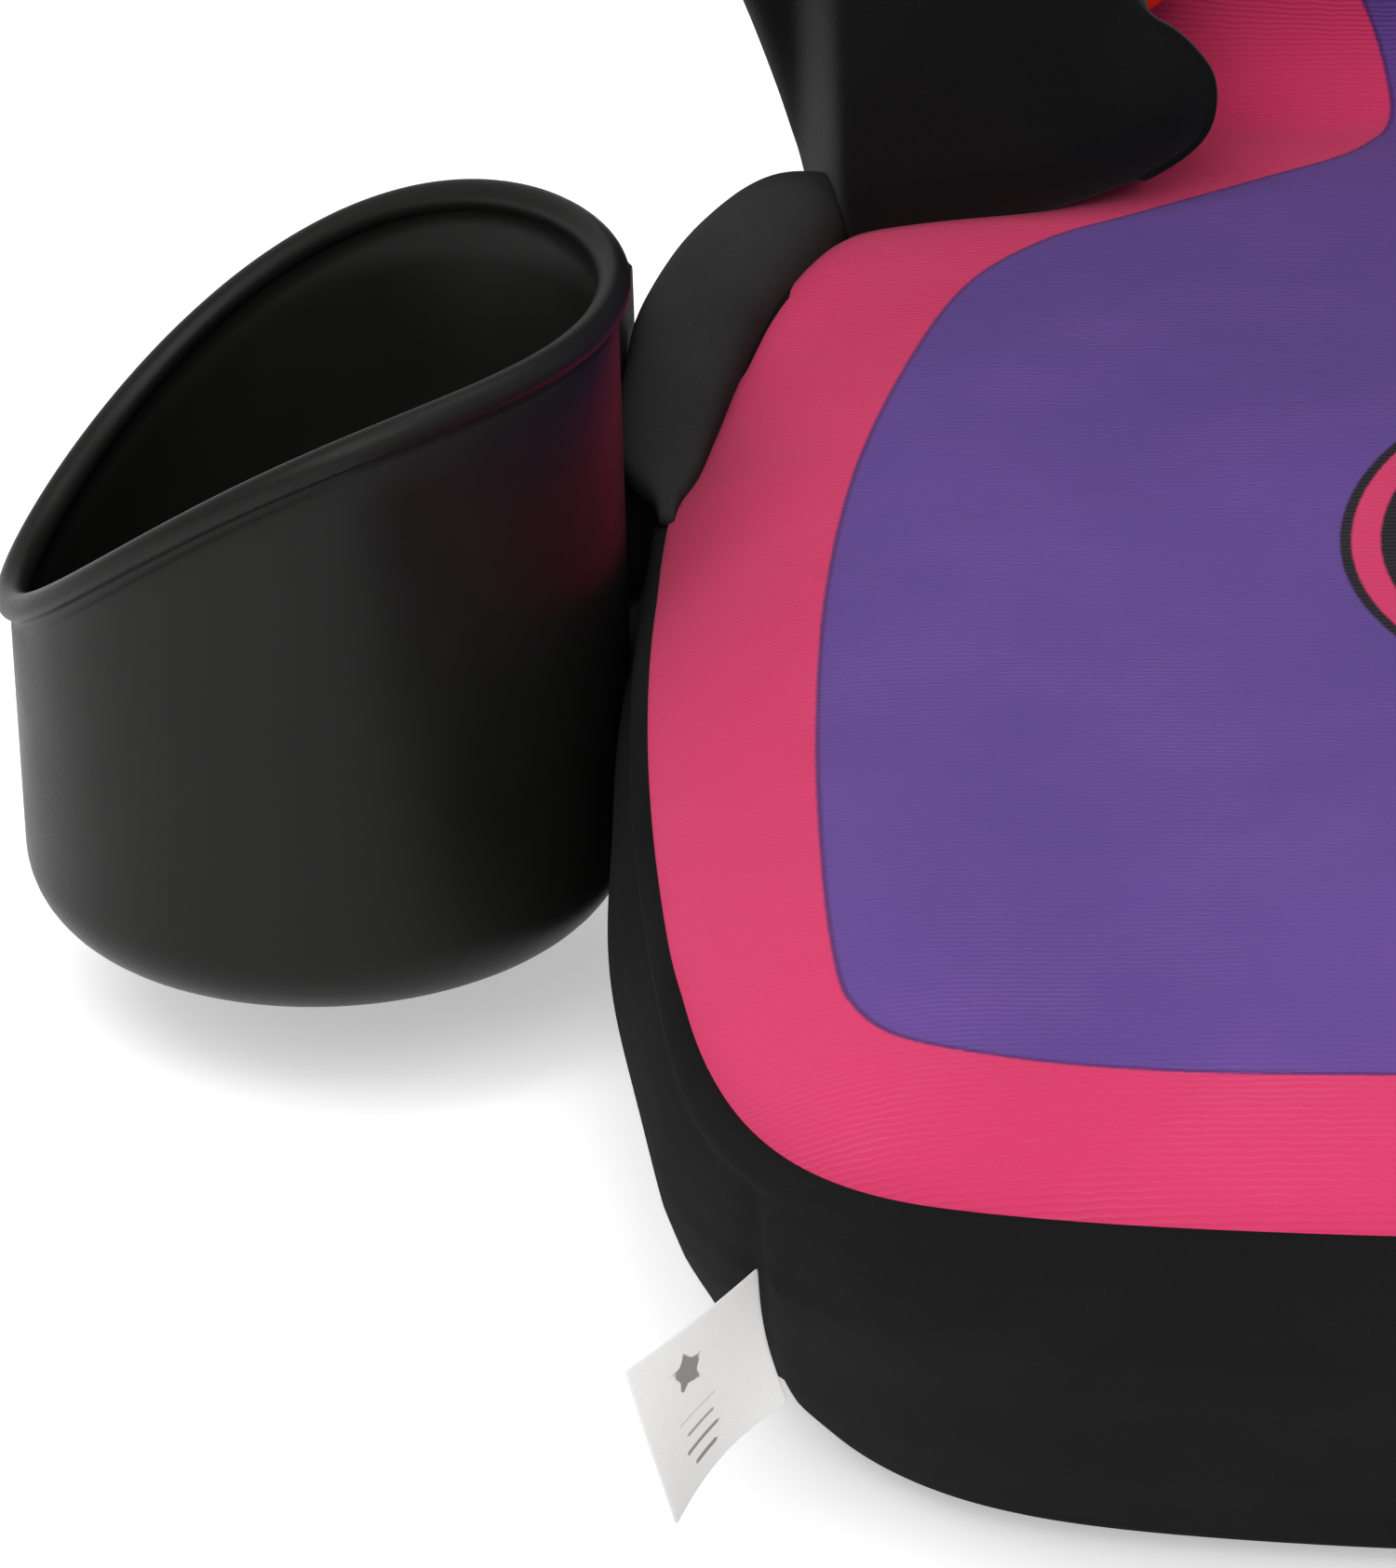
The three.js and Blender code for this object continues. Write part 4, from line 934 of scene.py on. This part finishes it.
def return_spring():
    """Coil spring on the pull rod, made as one fixed coil at rest; the real spring flattens upwards as the
    lever is squeezed, which this mesh does not do.
    """
    turns, sides = SPRING["turns"], 10
    t = np.linspace(0, 1, turns * 24 + 1)
    around = 2 * math.pi * turns * t
    ring = np.linspace(0, 2 * math.pi, sides, endpoint=False)
    points = []
    for angle, share in zip(around, t):
        reach = SPRING["radius"] + SPRING["wire"] * np.cos(ring)
        height = SPRING["bottom"] + SPRING["climb"] * share + SPRING["wire"] * np.sin(ring)
        points.append(on_back(reach * math.cos(angle), SPRING["v"] + reach * math.sin(angle), height))
    faces = grid_faces(len(points), sides, closed=True)
    last = (len(points) - 1) * sides
    faces += [tuple(range(sides))[::-1], tuple(last + k for k in range(sides))]
    return mesh_object("coil_spring", np.vstack(points), faces, MATERIALS["steel"])


spring = return_spring()
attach(spring, "headrest")
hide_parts("return_spring")
spring_top = on_back(0, SPRING["v"], SPRING["bottom"] + SPRING["climb"] + SPRING["wire"]) * MM
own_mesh(spring)

# ---------------------------------------------------------------- care tag


def care_tag():
    """White tag sewn into the corner seam, curling a little at its free end."""
    rows, columns = 22, 24
    top, low = np.array([-144.3, -213.2, 56.8]), np.array([-140.3, -214.7, 34.5])
    free_top, free_low = np.array([-162.3, -231.2, 48.0]), np.array([-156.8, -232.1, 23.2])
    points, print_at = [], []
    for i in range(rows):
        b = i / (rows - 1)
        for j in range(columns):
            a = j / (columns - 1)
            place = (1 - b) * ((1 - a) * top + a * free_top) + b * ((1 - a) * low + a * free_low)
            curl = (2.4 * b - 0.2) * math.sin(math.pi * a) + 1.6 * a * a * math.cos(2.4 * b)
            sewn_bend = 1.1 * (1 - a) * math.sin(math.pi * b)
            points.append(place + np.array([-0.62, 0.74, 0.1]) * curl - (sewn_bend, 0, 0))
            print_at.append((26 * a, 24 * (1 - b)))
    print_at = np.array(print_at)
    piece = mesh_object("care_tag_cloth", points, grid_faces(rows, columns), MATERIALS["tag"])
    distance = signed_distance(print_at, star_outline(4.0, 1.7) + (15.5, 17.0))
    for k, length in enumerate((9.0, 7.0, 8.2, 5.6)):
        corner = np.array([15.5 - length / 2, 9.6 - 2.2 * k])
        bar = corner + np.array([(0, 0), (length, 0), (length, 0.7), (0, 0.7)])
        distance = np.minimum(distance, signed_distance(print_at, bar))
    attribute(piece, "print", distance)
    solid = piece.modifiers.new("cloth_thickness", "SOLIDIFY")
    solid.thickness = 0.35 * MM
    smooth = piece.modifiers.new("smooth", "SUBSURF")
    smooth.levels = smooth.render_levels = 2
    return piece


tag = care_tag()
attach(tag, "base")
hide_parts("care_tag")

# ---------------------------------------------------------------- carried-over CAD parts

for node in frame["nodes"].values():
    if node.hide_render:
        continue
    if "custom_normal" in node.data.attributes:
        node.data.attributes.remove(node.data.attributes["custom_normal"])
    node.data.polygons.foreach_set("use_smooth", [True] * len(node.data.polygons))
    weld = node.modifiers.new("weld", "WELD")
    weld.merge_threshold = 0.00001
    split = node.modifiers.new("edges", "EDGE_SPLIT")
    split.split_angle = math.radians(32)

# ---------------------------------------------------------------- floor, light and camera


def floor():
    n = Nodes("floor_white")
    grain = n.noise(n.object_mm(), 0.01, 2.0)
    pale = n.mix(grain, (0.90, 0.90, 0.90, 1), (0.92, 0.92, 0.92, 1))
    n.finish(Base_Color=pale, Roughness=0.9, Emission_Color=(1, 1, 1, 1), Emission_Strength=0.42)
    half = 6000
    corners = [(-half, -half, 0), (half, -half, 0), (half, half, 0), (-half, half, 0)]
    mesh_object("floor", corners, [(0, 1, 2, 3)], n.material, smooth=False)


def area_light(name, place, target, size, power):
    data = bpy.data.lights.new(name, "AREA")
    data.shape = "DISK"
    data.size = size
    data.energy = power
    lamp = bpy.data.objects.new(name, data)
    bpy.context.scene.collection.objects.link(lamp)
    lamp.location = place
    lamp.rotation_euler = (Vector(target) - Vector(place)).to_track_quat("-Z", "Y").to_euler()


def world(strength):
    sky = bpy.data.worlds.new("studio")
    sky.use_nodes = True
    sky.node_tree.nodes["Background"].inputs[0].default_value = (1, 1, 1, 1)
    sky.node_tree.nodes["Background"].inputs[1].default_value = strength
    bpy.context.scene.world = sky


def camera():
    """A long lens, level with the seat's middle plane and aimed at its lower corner on the -X side."""
    target = Vector((-0.167, -0.050, 0.055))
    reach, pitch, roll = 1.9, math.radians(27), math.radians(2.0)
    place = Vector((0, target.y - reach * math.cos(pitch), target.z + reach * math.sin(pitch)))
    data = bpy.data.cameras.new("camera")
    data.sensor_fit = "AUTO"
    data.sensor_width = 36
    data.lens = 36 * 6.6 * (place - target).length * 1000 / 1685
    data.clip_end = 50
    eye = bpy.data.objects.new("camera", data)
    bpy.context.scene.collection.objects.link(eye)
    eye.location = place
    aim = (target - place).to_track_quat("-Z", "Y").to_matrix().to_4x4()
    eye.rotation_euler = (aim @ Matrix.Rotation(-roll, 4, "Z")).to_euler()
    bpy.context.scene.camera = eye


floor()
world(0.6)
area_light("key", (-1.1, -1.0, 2.3), (0, 0, 0.1), 1.3, 16)
area_light("front", (-0.1, -1.9, 1.9), (0, 0.1, 0.15), 1.8, 26)
area_light("top", (0.2, 0.3, 2.2), (0, 0, 0.2), 1.4, 12)
camera()
bpy.context.scene.view_settings.view_transform = "Standard"
